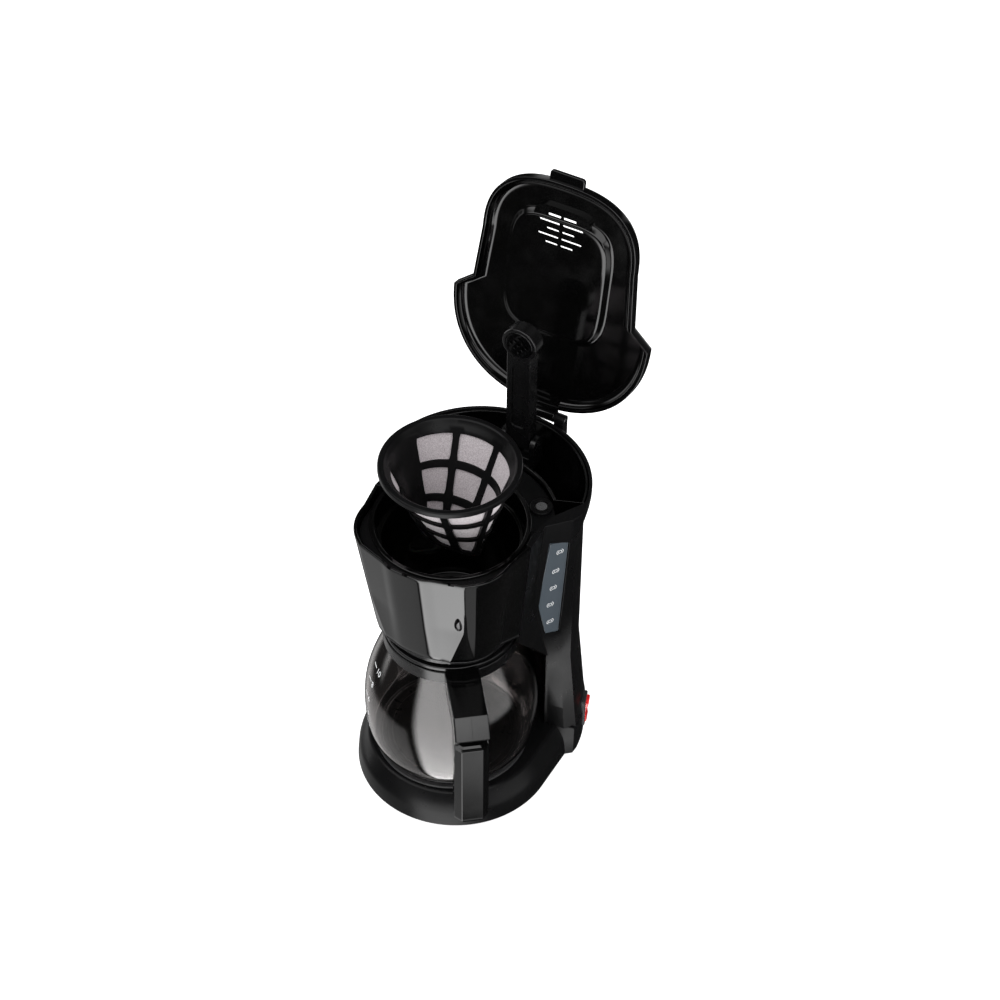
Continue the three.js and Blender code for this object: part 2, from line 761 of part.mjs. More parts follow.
const valveY = brewY + 18;
const padRadius = 9.5;
const padTop = basketFloor + 5.6;
const basket = turned([
  [0, basketFloor], [basketFootRadius, basketFloor], [basketFootRadius, headBottom],
  [basketMouthRadius + 1.6, brewDeckBottom], [basketMouthRadius + 1.6, brewDeckTop + gap],
  [basketMouthRadius + 3.3, brewDeckTop + gap], [basketMouthRadius + 3.3, brewDeckTop + 2],
  [basketMouthRadius, brewDeckTop + 2], [filterRimRadius + slack, filterLedge - gap],
  [filterRimRadius - 1.2, filterLedge - gap], [basketFootRadius - basketWall, headBottom],
  [basketFootRadius - basketWall, basketFloor + basketWall], [0, basketFloor + basketWall],
]);
basket.translate(0, brewY, 0);
add("brew_basket", cut(
  join(basket, cylinder(padRadius, basketFloor + 0.5, padTop, 0, valveY, 28)),
  cylinder(padRadius - 1.7, basketFloor - 1, padTop - 1.6, 0, valveY, 28),
  cylinder(3, basketFloor - 1, padTop + 1, 0, valveY, 16),
  armSlot,
), satinBlack);

const sealTop = padTop + gap + 1;
const dripSeal = turned([[3.2, padTop + gap], [7.4, padTop + gap], [7.4, sealTop], [3.2, sealTop]], 16);
dripSeal.translate(0, valveY, 0);
add("drip_seal", dripSeal, silicone);

const capBottom = jugLidTop + 0.6;
const capTop = capBottom + 1.1;
const dripValve = turned([
  [0, capBottom], [5.4, capBottom], [5.4, capTop], [2, capTop], [2, sealTop + gap],
  [6.8, sealTop + gap], [6.2, sealTop + 1.7], [0, sealTop + 1.7],
], 16);
dripValve.translate(0, valveY, 0);
add("drip_valve", dripValve, mattBlack);

const springBottom = capTop + gap;
const springTop = padTop - 1.6 - gap;
class SpringCoil extends THREE.Curve {
  getPoint(t, target = new THREE.Vector3()) {
    const angle = t * 3.5 * 2 * Math.PI;
    const z = mix(springBottom + 0.4, springTop - 0.4, t);
    return target.set(3.8 * Math.cos(angle), valveY + 3.8 * Math.sin(angle), z);
  }
}
add("drip_spring", new THREE.ExtrudeGeometry(shapeOf(circle(0.35, 0, 0, 5)), {
  steps: 36, extrudePath: new SpringCoil(), bevelEnabled: false,
}), steel);

// ---- Switch --------------------------------------------------------------------------------

const bezelHalfWidth = switchWidth / 2;
const bezelHalfHeight = switchHeight / 2;
const bezelWall = 1.8;
add("switch_bezel", onSwitch(cut(
  box(-9, 1.2, -bezelHalfWidth, bezelHalfWidth, -bezelHalfHeight, bezelHalfHeight),
  box(-7.4, 3, -bezelHalfWidth + bezelWall, bezelHalfWidth - bezelWall,
    -bezelHalfHeight + bezelWall, bezelHalfHeight - bezelWall),
)), mattBlack);

const rockerHalfWidth = bezelHalfWidth - bezelWall - gap;
const rocker = new THREE.ExtrudeGeometry(shapeOf([
  [-4, -7], [-0.6, -10.4], [2.4, -10], [1.4, 0], [3.6, 10], [0.6, 10.4], [-4, 7],
]), { depth: rockerHalfWidth * 2, bevelEnabled: false });
rocker.translate(0, 0, -rockerHalfWidth);
rocker.rotateX(Math.PI / 2);
add("switch_rocker", onSwitch(rocker), redClear);

// ---- Lid -------------------------------------------------------------------------------------

const lid = new THREE.Group();
lid.position.set(0, hingeY, hingeZ);
lid.rotation.x = -rad(lidOpenAngle);
coffeeMaker.add(lid);

const lidRim = -0.6;
const lidTop = lidRim + lidThickness;
const lidRoof = lidTop - wall;
const panelCentre = -107;
const panelHalfWidth = 37.5;
const panelHalfLength = 45.5;
function lidPanel(inset) {
  return bow(0, panelCentre, panelHalfWidth - inset, panelHalfLength - inset, 5, 0, 345, 23);
}

const slotPitch = 5.2;
const slotHalfHeight = 1.3;
const slotMiddle = 143.1; // distance of the middle row from the hinge
const slotShort = 10.5;
const slotLong = 16.5;
const slotBar = 1.6; // half width of the bar between the left and right slots
const ventSlots = [-2, -1, 0, 1, 2].flatMap((row) => {
  const v = -(slotMiddle + row * slotPitch);
  const reach = row % 2 ? slotLong : slotShort;
  return [
    box(-reach, -slotBar, v - slotHalfHeight, v + slotHalfHeight, lidRim - 2, lidTop),
    box(slotBar, reach, v - slotHalfHeight, v + slotHalfHeight, lidRim - 2, lidTop),
  ];
});
const ventHalfWidth = slotLong + 5;
const ventHalfLength = 2 * slotPitch + slotHalfHeight + 5;
function ventOpening(inset) {
  return bow(0, -slotMiddle, ventHalfWidth - inset, ventHalfLength - inset, 5, 0, 345, 23);
}
const lidPinHole = cylinderX(hingePinRadius + gap, -60, 60, 0, 0, 16);

add("lid_cover", cut(
  join(
    cut(
      loft([
        { points: lidOutline(0), z: lidRim },
        { points: lidOutline(0), z: lidTop - 3 },
        { points: lidOutline(2.6), z: lidTop },
      ]),
      loft([
        { points: lidOutline(wall), z: lidRim - 1 },
        { points: lidOutline(wall), z: lidRoof },
      ]),
    ),
    box(-hingeTongueHalfWidth, hingeTongueHalfWidth, -10, 0, 0.6, hingeBarrelRadius),
    cylinderX(hingeBarrelRadius, -hingeTongueHalfWidth, hingeTongueHalfWidth, 0, 0),
    box(-13, 13, -lidLength - 7, -lidLength + wall - gap, 1, 4),
  ),
  lidPinHole,
  prism(ventOpening(0), lidRim, lidTop + 1),
), glossBlack, lid);

const linerRim = 0.2;
const linerFloor = 4.4;
const linerBack = 5.6;
const panelBack = 1.5;
const ventTop = lidRoof - gap;
add("lid_liner", cut(
  join(
    cut(
      join(
        cut(
          prism(lidOutline(wall + slack), linerRim, linerBack),
          prism(lidOutline(wall + slack + 3), linerRim - 1, linerFloor),
        ),
        prism(lidPanel(0), linerRim, linerFloor + 0.5),
      ),
      prism(lidPanel(1.6), panelBack, linerBack + 1),
    ),
    prism(ventOpening(0), panelBack - 0.5, ventTop),
  ),
  prism(ventOpening(1.4), panelBack, ventTop + 1),
  box(-hingeTongueHalfWidth - 1, hingeTongueHalfWidth + 1, -14, 2, -3, 8),
  ...ventSlots,
), glossBlack, lid);

const pinReach = hingeTongueHalfWidth + slack + hingeEarWidth;
add("hinge_pin", cylinderX(hingePinRadius, -pinReach, pinReach, hingeY, hingeZ, 16), steel);

// ---- Spray arm -------------------------------------------------------------------------------

const arm = new THREE.Group();
arm.position.set(0, armPivotY, armPivotZ);
coffeeMaker.add(arm);

const neckAngle = THREE.MathUtils.radToDeg(Math.acos(armWidth / 2 / sprayRadius));
const armFace = prism([
  [-armWidth / 2, -5], [armWidth / 2, -5],
  ...arc(0, armLength, sprayRadius, -neckAngle, 180 + neckAngle, 24),
], -armDepth / 2, armDepth / 2);
armFace.rotateX(Math.PI / 2);
add("spray_arm", cut(
  armFace,
  yCylinder(sprayRadius - 2.5, -armDepth / 2 - 1, 2, 0, armLength, 28),
  cylinderX(armPinRadius + gap, -20, 20, 0, 0, 16),
), satinBlack, arm);

const sprayHoles = [-1, 0, 1].flatMap((i) => [-1, 0, 1].map((k) => [(i + k) * 2.9, (i - k) * 2.9]));
add("spray_plate", cut(
  yCylinder(sprayRadius - 2.5 - gap, -armDepth / 2, -armDepth / 2 + 2, 0, armLength, 28),
  ...sprayHoles.map(([x, z]) => yCylinder(1, -armDepth, 0, x, armLength + z, 6)),
), satinBlack, arm);

add("arm_pin", cylinderX(armPinRadius, -earOuter, earOuter, armPivotY, armPivotZ, 16), steel);

// ---- Cone filter, lifted out of its seat ---------------------------------------------------------

const filter = new THREE.Group();
filter.position.set(0, brewY, filterLift);
coffeeMaker.add(filter);

const filterTop = filterLedge + filterRimHeight + gap;
const filterBottom = filterTop - filterDepth;
const seamHalfLength = 20;
const seamHalfWidth = 3;
const meshMouth = filterRimRadius - filterRimWidth;
function filterSizes(z) {
  const t = (z - filterBottom) / filterDepth;
  return [mix(seamHalfLength, meshMouth, t), mix(seamHalfWidth, meshMouth, t)];
}
function filterCone(grow, floor, top) {
  return loft([floor, top].map((z) => {
    const [a, b] = filterSizes(z);
    return { points: bow(0, 0, a + grow, b + grow, 2, 0, 345, 23), z };
  }));
}
add("filter_mesh", cut(
  filterCone(0, filterBottom + 2, filterTop - 0.5),
  filterCone(-filterWall, filterBottom + 2 + filterWall, filterTop + 1),
), meshGrey, filter);

const filterRim = turned([
  [meshMouth + gap, filterTop - filterRimHeight], [filterRimRadius, filterTop - filterRimHeight],
  [filterRimRadius, filterTop], [meshMouth + gap, filterTop],
]);
const tiers = 3;
const sectors = 8;
const closedSector = 4; // solid panel on the left
const windowTop = filterTop - filterRimHeight - 1.5;
const tierHeight = (windowTop - filterBottom - 4) / tiers;
function windowCutter(sector, tier) {
  const low = filterBottom + 4 + tier * tierHeight + filterRib / 2;
  const high = low + tierHeight - filterRib;
  return loft([low, high].map((z) => {
    const [a, b] = filterSizes(z);
    const margin = THREE.MathUtils.radToDeg(filterRib / 2 / ((a + b) / 2));
    const from = (sector - 0.5) * (360 / sectors) + margin;
    const to = (sector + 0.5) * (360 / sectors) - margin;
    return {
      points: [
        ...bow(0, 0, a + 9, b + 9, 2, from, to, 2),
        ...bow(0, 0, a - 3, Math.max(b - 3, 0.6), 2, to, from, 1),
      ],
      z,
    };
  }));
}
const windows = [];
for (let sector = 0; sector < sectors; sector += 1) {
  for (let tier = 0; tier < tiers; tier += 1) {
    if (sector !== closedSector) windows.push(windowCutter(sector, tier));
  }
}
add("filter_frame", cut(
  join(filterCone(2.4, filterBottom, filterTop - 1), filterRim),
  filterCone(gap, filterBottom + 2 - gap, filterTop + 2),
  ...windows,
), satinBlack, filter);

// ---- Jug -------------------------------------------------------------------------------------

const jug = new THREE.Group();
jug.position.set(0, brewY, 0);
jug.rotation.z = rad(handleTurn);
coffeeMaker.add(jug);

const jugBase = plateTop + gap;
const jugProfile = [
  [50, jugBase], [58.6, jugBase + 8], [jugRadius - 0.6, jugBase + 24], [jugRadius - 0.4, jugBase + 48],
  [jugRadius - 4.8, jugBase + 70], [jugNeckRadius, jugBase + 102], [jugNeckRadius, jugRim],
];
add("jug_glass", turned([
  [0, jugBase], ...jugProfile,
  ...jugProfile.slice(1).reverse().map(([r, z]) => [r - jugWall, z]),
  [49, jugBase + jugWall], [0, jugBase + jugWall],
]), clearGlass, jug);

const collarOuter = jugNeckRadius + 2.6;
add("jug_collar", turned([
  [jugNeckRadius + gap, jugBase + 101.5], [collarOuter, jugBase + 101.5],
  [collarOuter, jugRim - 1], [jugNeckRadius + gap, jugRim - 1],
]), satinBlack, jug);

add("jug_lid", join(
  turned([
    [0, jugRim + gap], [jugNeckRadius + 2, jugRim + gap], [jugNeckRadius + 2, jugLidTop - 0.8],
    [jugNeckRadius + 1, jugLidTop], [jugNeckRadius - 5, jugLidTop], [0, jugLidTop - 0.8],
  ]),
  turned([
    [jugNeckRadius - jugWall - 2, jugRim - 5], [jugNeckRadius - jugWall - gap, jugRim - 5],
    [jugNeckRadius - jugWall - gap, jugRim + 1], [jugNeckRadius - jugWall - 2, jugRim + 1],
  ]),
), satinBlack, jug);

const bracketInner = collarOuter + gap;
const handleTop = jugLidTop;
const gripTop = 121.5;
const gripBottom = 43;

// Level section of the grip, with its two front corners cut off.
function gripSection(front, back, halfWidth, z) {
  const corner = halfWidth - gripChamfer;
  const side = front - gripChamfer;
  return {
    points: [
      [-halfWidth, -back], [-halfWidth, -side], [-corner, -front],
      [corner, -front], [halfWidth, -side], [halfWidth, -back],
    ],
    z,
  };
}

add("jug_handle", join(
  sideProfile([
    [-bracketInner, 135], [-61, 135], [-82, 133], [-88, gripTop], [-handleReach + 3, gripTop],
    [-handleReach + 3, 130], [-handleReach, 133.8], [-handleReach + 9, handleTop],
    [-bracketInner, handleTop],
  ], handleWidth),
  loft([
    gripSection(gripReach - 3, gripBack + 4, handleWidth / 2 - 2, gripBottom),
    gripSection(gripReach, gripBack + 1, handleWidth / 2, gripBottom + 4),
    gripSection(gripReach, gripBack, handleWidth / 2, gripTop),
    gripSection(gripReach - 3, gripBack + 3, handleWidth / 2 - 1, gripTop + 2),
  ]),
), glossBlack, jug);

export default coffeeMaker;
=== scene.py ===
"""Looks of a small drip coffee maker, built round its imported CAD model.

Sizes are millimetres until a mesh is made, which is in metres. +Z up, front towards -Y, feet on z = 0.
"""
import math

import bmesh
import bpy
from mathutils import Matrix, Vector


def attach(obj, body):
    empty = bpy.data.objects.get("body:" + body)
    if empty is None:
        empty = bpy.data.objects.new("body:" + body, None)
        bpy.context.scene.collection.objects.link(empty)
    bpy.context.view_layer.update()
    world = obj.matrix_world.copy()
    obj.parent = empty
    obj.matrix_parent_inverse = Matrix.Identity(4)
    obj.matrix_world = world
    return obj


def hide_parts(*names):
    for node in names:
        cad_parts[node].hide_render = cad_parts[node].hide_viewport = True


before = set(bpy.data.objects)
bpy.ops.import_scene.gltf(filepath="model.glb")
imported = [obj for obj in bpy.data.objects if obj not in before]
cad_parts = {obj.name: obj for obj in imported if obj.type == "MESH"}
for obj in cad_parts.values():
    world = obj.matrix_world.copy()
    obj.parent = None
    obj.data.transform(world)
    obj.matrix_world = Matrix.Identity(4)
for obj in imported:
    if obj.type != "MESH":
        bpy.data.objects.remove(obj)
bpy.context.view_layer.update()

MM = 0.001

# ---- Sizes, the same as the CAD model's ----

WALL = 2.4
GAP = 0.3
SLACK = 0.6

RIM_Z = 248
BREW_Y = -40
TANK_Y = 2.6
DECK_Z = 30

WING_Y = -38
COLUMN_RADIUS = 70.8
COLUMN_FOOT_RADIUS = 77.4
COLUMN_FOOT_Z = 29
SHOULDER_Z = 103
RIM_RADIUS = 75.8
RIM_FRONT_RADIUS = 56.8
FOOT_RADIUS = 78
JUG_BAY_RADIUS = 67.5

TANK_FLOOR = 62
TANK_WALL = 2
TANK_FRONT_RADIUS = 72

HEAD_BOTTOM = 160
BREW_DECK_TOP = 243
BREW_DECK_BOTTOM = 240.5
BASKET_MOUTH = 51.6
BASKET_FOOT = 41.5
BASKET_FLOOR = 153

FILTER_TOP = 235.3
FILTER_DEPTH = 76
FILTER_RIM = 48.1
FILTER_RIM_WIDTH = 4.2
FILTER_RIM_HEIGHT = 4.6
FILTER_LIFT = 63.1

PLATE_RADIUS = 52
PLATE_TOP = 33
JUG_RADIUS = 62.6
JUG_NECK = 45.5
JUG_WALL = 2
JUG_RIM = 146
JUG_LID_TOP = 149.3
HANDLE_REACH = 101
GRIP_REACH = 99.6
GRIP_BACK = 85.4
HANDLE_TURN = 38.5

HINGE_Y = 82.6
HINGE_Z = 248.9
LID_OPEN = 100.1
LID_LENGTH = 179
HINGE_BARREL = 4
HINGE_PIN = 1.6
TONGUE_HALF_WIDTH = 13.8

ARM_Y = 58
ARM_Z = 243
ARM_LENGTH = 88
ARM_WIDTH = 18.5
ARM_DEPTH = 11
SPRAY_RADIUS = 13

SWITCH_TURN = 20
SWITCH_Z = 27
SWITCH_WIDTH = 14
SWITCH_HEIGHT = 26
GLAND_Z = 16


# ---- Outlines ----

def mix(a, b, t):
    return a + (b - a) * t


def ease(t):
    t = min(max(t, 0), 1)
    return t * t * (3 - 2 * t)


def turned(degrees, axis):
    return Matrix.Rotation(math.radians(degrees), 4, axis)


def arc(cx, cy, radius, start, end, steps):
    angles = [math.radians(mix(start, end, i / steps)) for i in range(steps + 1)]
    return [(cx + radius * math.cos(a), cy + radius * math.sin(a)) for a in angles]


def circle(radius, cx=0, cy=0, steps=96):
    return arc(cx, cy, radius, 0, 360 - 360 / steps, steps - 1)


def bow(cx, cy, half_width, reach, power, start, end, steps):
    """Part of a superellipse, from one angle to another."""
    points = []
    for i in range(steps + 1):
        angle = math.radians(mix(start, end, i / steps))
        c, s = math.cos(angle), math.sin(angle)
        x = math.copysign(abs(c) ** (2 / power), c)
        y = math.copysign(abs(s) ** (2 / power), s)
        points.append((cx + half_width * x, cy + reach * y))
    return points


def mirrored(points):
    return [(-x, y) for x, y in reversed(points)]


def signed_area(points):
    pairs = zip(points, points[1:] + points[:1])
    return sum(x0 * y1 - x1 * y0 for (x0, y0), (x1, y1) in pairs) / 2


def grown(points, amount):
    """Moves every edge of a closed outline out by the same amount."""
    turn = math.copysign(1, signed_area(points))

    def normal(a, b):
        dx, dy = b[0] - a[0], b[1] - a[1]
        length = math.hypot(dx, dy) or 1
        return turn * dy / length, -turn * dx / length

    moved = []
    for i, point in enumerate(points):
        ax, ay = normal(points[i - 1], point)
        bx, by = normal(point, points[(i + 1) % len(points)])
        scale = amount / max(1 + ax * bx + ay * by, 0.3)
        moved.append((point[0] + (ax + bx) * scale, point[1] + (ay + by) * scale))
    return moved


def rounded(x0, x1, y0, y1, radius):
    """Rectangle with its corners rounded alike."""
    return filleted([(x0, y0, radius), (x1, y0, radius), (x1, y1, radius), (x0, y1, radius)])


def filleted(corners, steps=5):
    """Closed outline through (x, y, radius) corners, each rounded by an arc."""
    points = []
    for i, (x, y, radius) in enumerate(corners):
        corner = Vector((x, y))
        back = Vector(corners[i - 1][:2]) - corner
        ahead = Vector(corners[(i + 1) % len(corners)][:2]) - corner
        half = back.angle(ahead) / 2
        reach = radius / math.tan(half) if radius else 0
        reach = min(reach, 0.49 * back.length, 0.49 * ahead.length)
        if reach < 0.01:
            points.append((x, y))
            continue
        middle = (back.normalized() + ahead.normalized()).normalized()
        centre = corner + middle * (reach / math.cos(half))
        first = corner + back.normalized() * reach - centre
        last = corner + ahead.normalized() * reach - centre
        turn = first.angle(last)
        for k in range(steps + 1):
            t = k / steps
            a = math.sin((1 - t) * turn) / math.sin(turn)
            b = math.sin(t * turn) / math.sin(turn)
            points.append(tuple(centre + first * a + last * b))
    return points


# ---- Meshes ----

def mesh_object(name, vertices, faces):
    mesh = bpy.data.meshes.new(name)
    mesh.from_pydata([(x * MM, y * MM, z * MM) for x, y, z in vertices], [], faces)
    tidy = bmesh.new()
    tidy.from_mesh(mesh)
    bmesh.ops.remove_doubles(tidy, verts=tidy.verts, dist=0.002 * MM)
    bmesh.ops.recalc_face_normals(tidy, faces=tidy.faces)
    tidy.to_mesh(mesh)
    tidy.free()
    obj = bpy.data.objects.new(name, mesh)
    bpy.context.scene.collection.objects.link(obj)
    return obj


def skin(name, rings, looped=False):
    """Solid through rings of 3-D points, closed at both ends or joined last to first."""
    size = len(rings[0])
    vertices = [point for ring in rings for point in ring]
    faces = []
    spans = len(rings) if looped else len(rings) - 1
    for r in range(spans):
        low, high = r * size, (r + 1) % len(rings) * size
        for i in range(size):
            k = (i + 1) % size
            faces.append((low + i, low + k, high + k, high + i))
    if not looped:
        faces.append(tuple(reversed(range(size))))
        faces.append(tuple((len(rings) - 1) * size + i for i in range(size)))
    return mesh_object(name, vertices, faces)


def at(points, z):
    return [(x, y, z) for x, y in points]


def edge_steps(z, direction, radius, steps=4):
    """(height, inset) pairs that round an edge; direction is 1 at a top edge, -1 at a bottom one."""
    pairs = []
    for i in range(steps + 1):
        angle = math.pi / 2 * i / steps
        height = z - direction * radius * (1 - math.sin(angle))
        pairs.append((height, radius * (1 - math.cos(angle))))
    return pairs if direction > 0 else pairs[::-1]


def prism(name, points, z0, z1, edge=0.5):
    """Upright plate with rounded top and bottom edges."""
    levels = edge_steps(z0, -1, edge, 3) + edge_steps(z1, 1, edge, 3)
    return skin(name, [at(grown(points, -inset), z) for z, inset in levels])


def lathe(name, profile, cx=0, cy=0, steps=128):
    """Turns a closed (radius, height) outline about a vertical line."""
    rings = []
    for i in range(steps):
        angle = 2 * math.pi * i / steps
        c, s = math.cos(angle), math.sin(angle)
        rings.append([(cx + r * c, cy + r * s, z) for r, z in profile])
    return skin(name, rings, looped=True)


def box(name, x0, x1, y0, y1, z0, z1):
    outline = [(x0, y0), (x1, y0), (x1, y1), (x0, y1)]
    return skin(name, [at(outline, z0), at(outline, z1)])


def rod(name, radius, start, end, steps=48, edge=0.4):
    """Cylinder between two points, with rounded ends."""
    axis = Vector(end) - Vector(start)
    length = axis.length
    levels = edge_steps(0, -1, edge, 3) + edge_steps(length, 1, edge, 3)
    obj = skin(name, [at(circle(radius - inset, steps=steps), z) for z, inset in levels])
    turn = axis.to_track_quat("Z", "Y").to_matrix().to_4x4()
    return moved(obj, Matrix.Translation(start) @ turn)


def moved(obj, matrix):
    """Applies a placement given in millimetres."""
    placement = matrix.copy()
    placement.translation = placement.translation * MM
    obj.data.transform(placement)
    return obj


def shape_now(obj):
    """Replaces a piece's mesh with what its modifiers make of it."""
    graph = bpy.context.evaluated_depsgraph_get()
    made = bpy.data.meshes.new_from_object(obj.evaluated_get(graph))
    obj.modifiers.clear()
    old, obj.data = obj.data, made
    bpy.data.meshes.remove(old)
    return obj


def combine(obj, operation, others):
    for other in others:
        step = obj.modifiers.new("combine", "BOOLEAN")
        step.operation = operation
        step.solver = "MANIFOLD"
        step.object = other
        shape_now(obj)
        bpy.data.objects.remove(other)
    return obj


def carve(obj, *tools):
    return combine(obj, "DIFFERENCE", tools)


def fuse(obj, *others):
    return combine(obj, "UNION", others)


def soften(obj, width, segments=3, angle=35):
    """Rounds the edges that turn by more than an angle."""
    step = obj.modifiers.new("edge", "BEVEL")
    step.width = width * MM
    step.segments = segments
    step.limit_method = "ANGLE"
    step.angle_limit = math.radians(angle)
    step.miter_outer = "MITER_ARC"
    return shape_now(obj)


def piece(obj, body, material, slot, *replaced, sharp=38, weighted=True):
    """Shades a finished mesh, gives it its material, puts it under its body and hides the CAD nodes it
    replaces; the slot name is not used.
    """
    obj.data.materials.clear()
    obj.data.materials.append(material)
    obj.data.shade_smooth()
    obj.data.set_sharp_from_angle(angle=math.radians(sharp))
    if weighted:
        step = obj.modifiers.new("normals", "WEIGHTED_NORMAL")
        step.keep_sharp = True
        step.weight = 60
        shape_now(obj)
    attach(obj, body)
    if replaced:
        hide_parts(*replaced)


# ---- Materials ----

class Finish:
    """A Principled material with helpers for the textures that drive it."""

    def __init__(self, name, color, roughness, **constants):
        self.material = bpy.data.materials.new(name)
        self.material.use_nodes = True
        self.nodes = self.material.node_tree.nodes
        self.links = self.material.node_tree.links
        self.shader = self.nodes["Principled BSDF"]
        self.fill(self.shader, Base_Color=(*color, 1), Roughness=roughness, **constants)
        self.place = self.nodes.new("ShaderNodeTexCoord")

    def fill(self, node, **values):
        """Sets a node's inputs by name, with _ for a space."""
        for socket, value in values.items():
            node.inputs[socket.replace("_", " ")].default_value = value
        return node

    def node(self, kind, **values):
        return self.fill(self.nodes.new("ShaderNode" + kind), **values)

    def noise(self, scale, detail=3, stretch=(1, 1, 1)):
        mapping = self.node("Mapping", Scale=stretch)
        self.links.new(self.place.outputs["Object"], mapping.inputs["Vector"])
        node = self.node("TexNoise", Scale=scale, Detail=detail)
        self.links.new(mapping.outputs["Vector"], node.inputs["Vector"])
        return node.outputs["Fac"]

    def remapped(self, value, low, high):
        node = self.node("MapRange", From_Min=0.3, From_Max=0.7, To_Min=low, To_Max=high)
        self.links.new(value, node.inputs["Value"])
        return node.outputs["Result"]

    def roughness(self, value, low, high):
        self.links.new(self.remapped(value, low, high), self.shader.inputs["Roughness"])

    def color(self, value, dark, light):
        node = self.nodes.new("ShaderNodeMix")
        node.data_type = "RGBA"
        node.inputs["A"].default_value = (*dark, 1)
        node.inputs["B"].default_value = (*light, 1)
        self.links.new(self.remapped(value, 0, 1), node.inputs["Factor"])
        self.links.new(node.outputs["Result"], self.shader.inputs["Base Color"])

    def bump(self, value, depth, strength):
        node = self.node("Bump", Strength=strength, Distance=depth * MM)
        self.links.new(value, node.inputs["Height"])
        self.links.new(node.outputs["Normal"], self.shader.inputs["Normal"])
        return self

    def weave(self, threads):
        """Over-and-under threads on all sides: the highest of three crossed waves."""
        total = None
        for axis in ("X", "Y", "Z"):
            wave = self.node("TexWave", Scale=threads, Distortion=0.6, Detail=1)
            wave.bands_direction = axis
            self.links.new(self.place.outputs["Object"], wave.inputs["Vector"])
            if total is None:
                total = wave.outputs["Fac"]
                continue
            join = self.nodes.new("ShaderNodeMath")
            join.operation = "MAXIMUM"
            self.links.new(total, join.inputs[0])
            self.links.new(wave.outputs["Fac"], join.inputs[1])
            total = join.outputs[0]
        return total


def grained(name, color, roughness, tint=None, wear=None, grain=None, **constants):
    """A finish whose color, roughness and surface each follow a noise of their own.

    tint is (noise, dark, light), wear is (noise, low, high) and grain is (noise, depth, strength).
    """
    f = Finish(name, color, roughness, **constants)
    if tint:
        f.color(f.noise(*tint[0]), *tint[1:])
    if wear:
        f.roughness(f.noise(*wear[0]), *wear[1:])
    if grain:
        f.bump(f.noise(*grain[0]), *grain[1:])
    return f


def filter_cloth():
    f = grained("filter_mesh", (0.42, 0.37, 0.39), 0.8,
                tint=((1400, 5), (0.42, 0.37, 0.39), (0.78, 0.73, 0.75)), wear=((600, 3), 0.65, 0.9),
                Sheen_Weight=0.25, Sheen_Roughness=0.5, Transmission_Weight=0.12)
    return f.bump(f.weave(420), 0.08, 0.7).material


def floor_paint():
    f = grained("floor", (0.9, 0.9, 0.9), 0.7, tint=((6, 3), (0.89, 0.89, 0.89), (0.91, 0.91, 0.91)),
                grain=((90, 3), 0.05, 0.2), Emission_Strength=0.75)
    f.shader.inputs["Emission Color"].default_value = (1, 1, 1, 1)
    return f.material


GLOSS = grained(
    "gloss_black", (0.0015, 0.0015, 0.0016), 0.06,
    tint=((18, 4), (0.001, 0.001, 0.0011), (0.002, 0.002, 0.0021)),
    wear=((55, 6), 0.03, 0.09), grain=((160, 2), 0.006, 0.5)).material
SATIN = grained(
    "satin_black", (0.003, 0.003, 0.0032), 0.3,
    tint=((25, 4), (0.0022, 0.0022, 0.0024), (0.0038, 0.0038, 0.004)),
    wear=((70, 5), 0.2, 0.3), grain=((2600, 2), 0.004, 0.4)).material
# The fine-grained housing: darker in its highlights than the satin pieces.
BODY = grained(
    "body_black", (0.004, 0.004, 0.0042), 0.22,
    tint=((25, 4), (0.003, 0.003, 0.0032), (0.005, 0.005, 0.0053)),
    wear=((70, 5), 0.26, 0.36), grain=((2600, 2), 0.003, 0.3), Specular_IOR_Level=0.14).material
MATT = grained(
    "matt_black", (0.02, 0.02, 0.021), 0.6,
    tint=((40, 4), (0.016, 0.016, 0.017), (0.026, 0.026, 0.027)),
    wear=((120, 4), 0.5, 0.68), grain=((1900, 3), 0.03, 0.6)).material
# Darker gloss of the lid's lining and the brew space.
INNER = grained(
    "inner_gloss_black", (0.002, 0.002, 0.002), 0.1,
    tint=((30, 3), (0.0007, 0.0007, 0.0007), (0.0014, 0.0014, 0.0015)),
    wear=((80, 5), 0.07, 0.15), grain=((220, 2), 0.008, 0.4)).material
WINDOW = grained(
    "smoke_window", (0.07, 0.1, 0.13), 0.16,
    tint=((30, 3, (1, 1, 0.4)), (0.05, 0.062, 0.074), (0.066, 0.08, 0.094)),
    wear=((90, 4), 0.12, 0.24), grain=((300, 2), 0.006, 0.4),
    Coat_Weight=0.4, Coat_Roughness=0.05).material
GLASS = grained(
    "jug_glass", (0.78, 0.74, 0.73), 0.0,
    grain=((28, 1), 0.03, 0.35), Transmission_Weight=1.0, IOR=1.47).material
STEEL = grained(
    "steel", (0.6, 0.6, 0.61), 0.28,
    wear=((900, 2, (1, 1, 0.06)), 0.2, 0.38), grain=((1400, 1, (1, 1, 0.05)), 0.01, 0.5),
    Metallic=1.0).material
ALUMINIUM = grained(
    "aluminium", (0.5, 0.5, 0.51), 0.4,
    tint=((60, 5), (0.42, 0.42, 0.43), (0.56, 0.56, 0.57)),
    wear=((300, 4), 0.32, 0.5), grain=((700, 4), 0.05, 0.5), Metallic=1.0).material
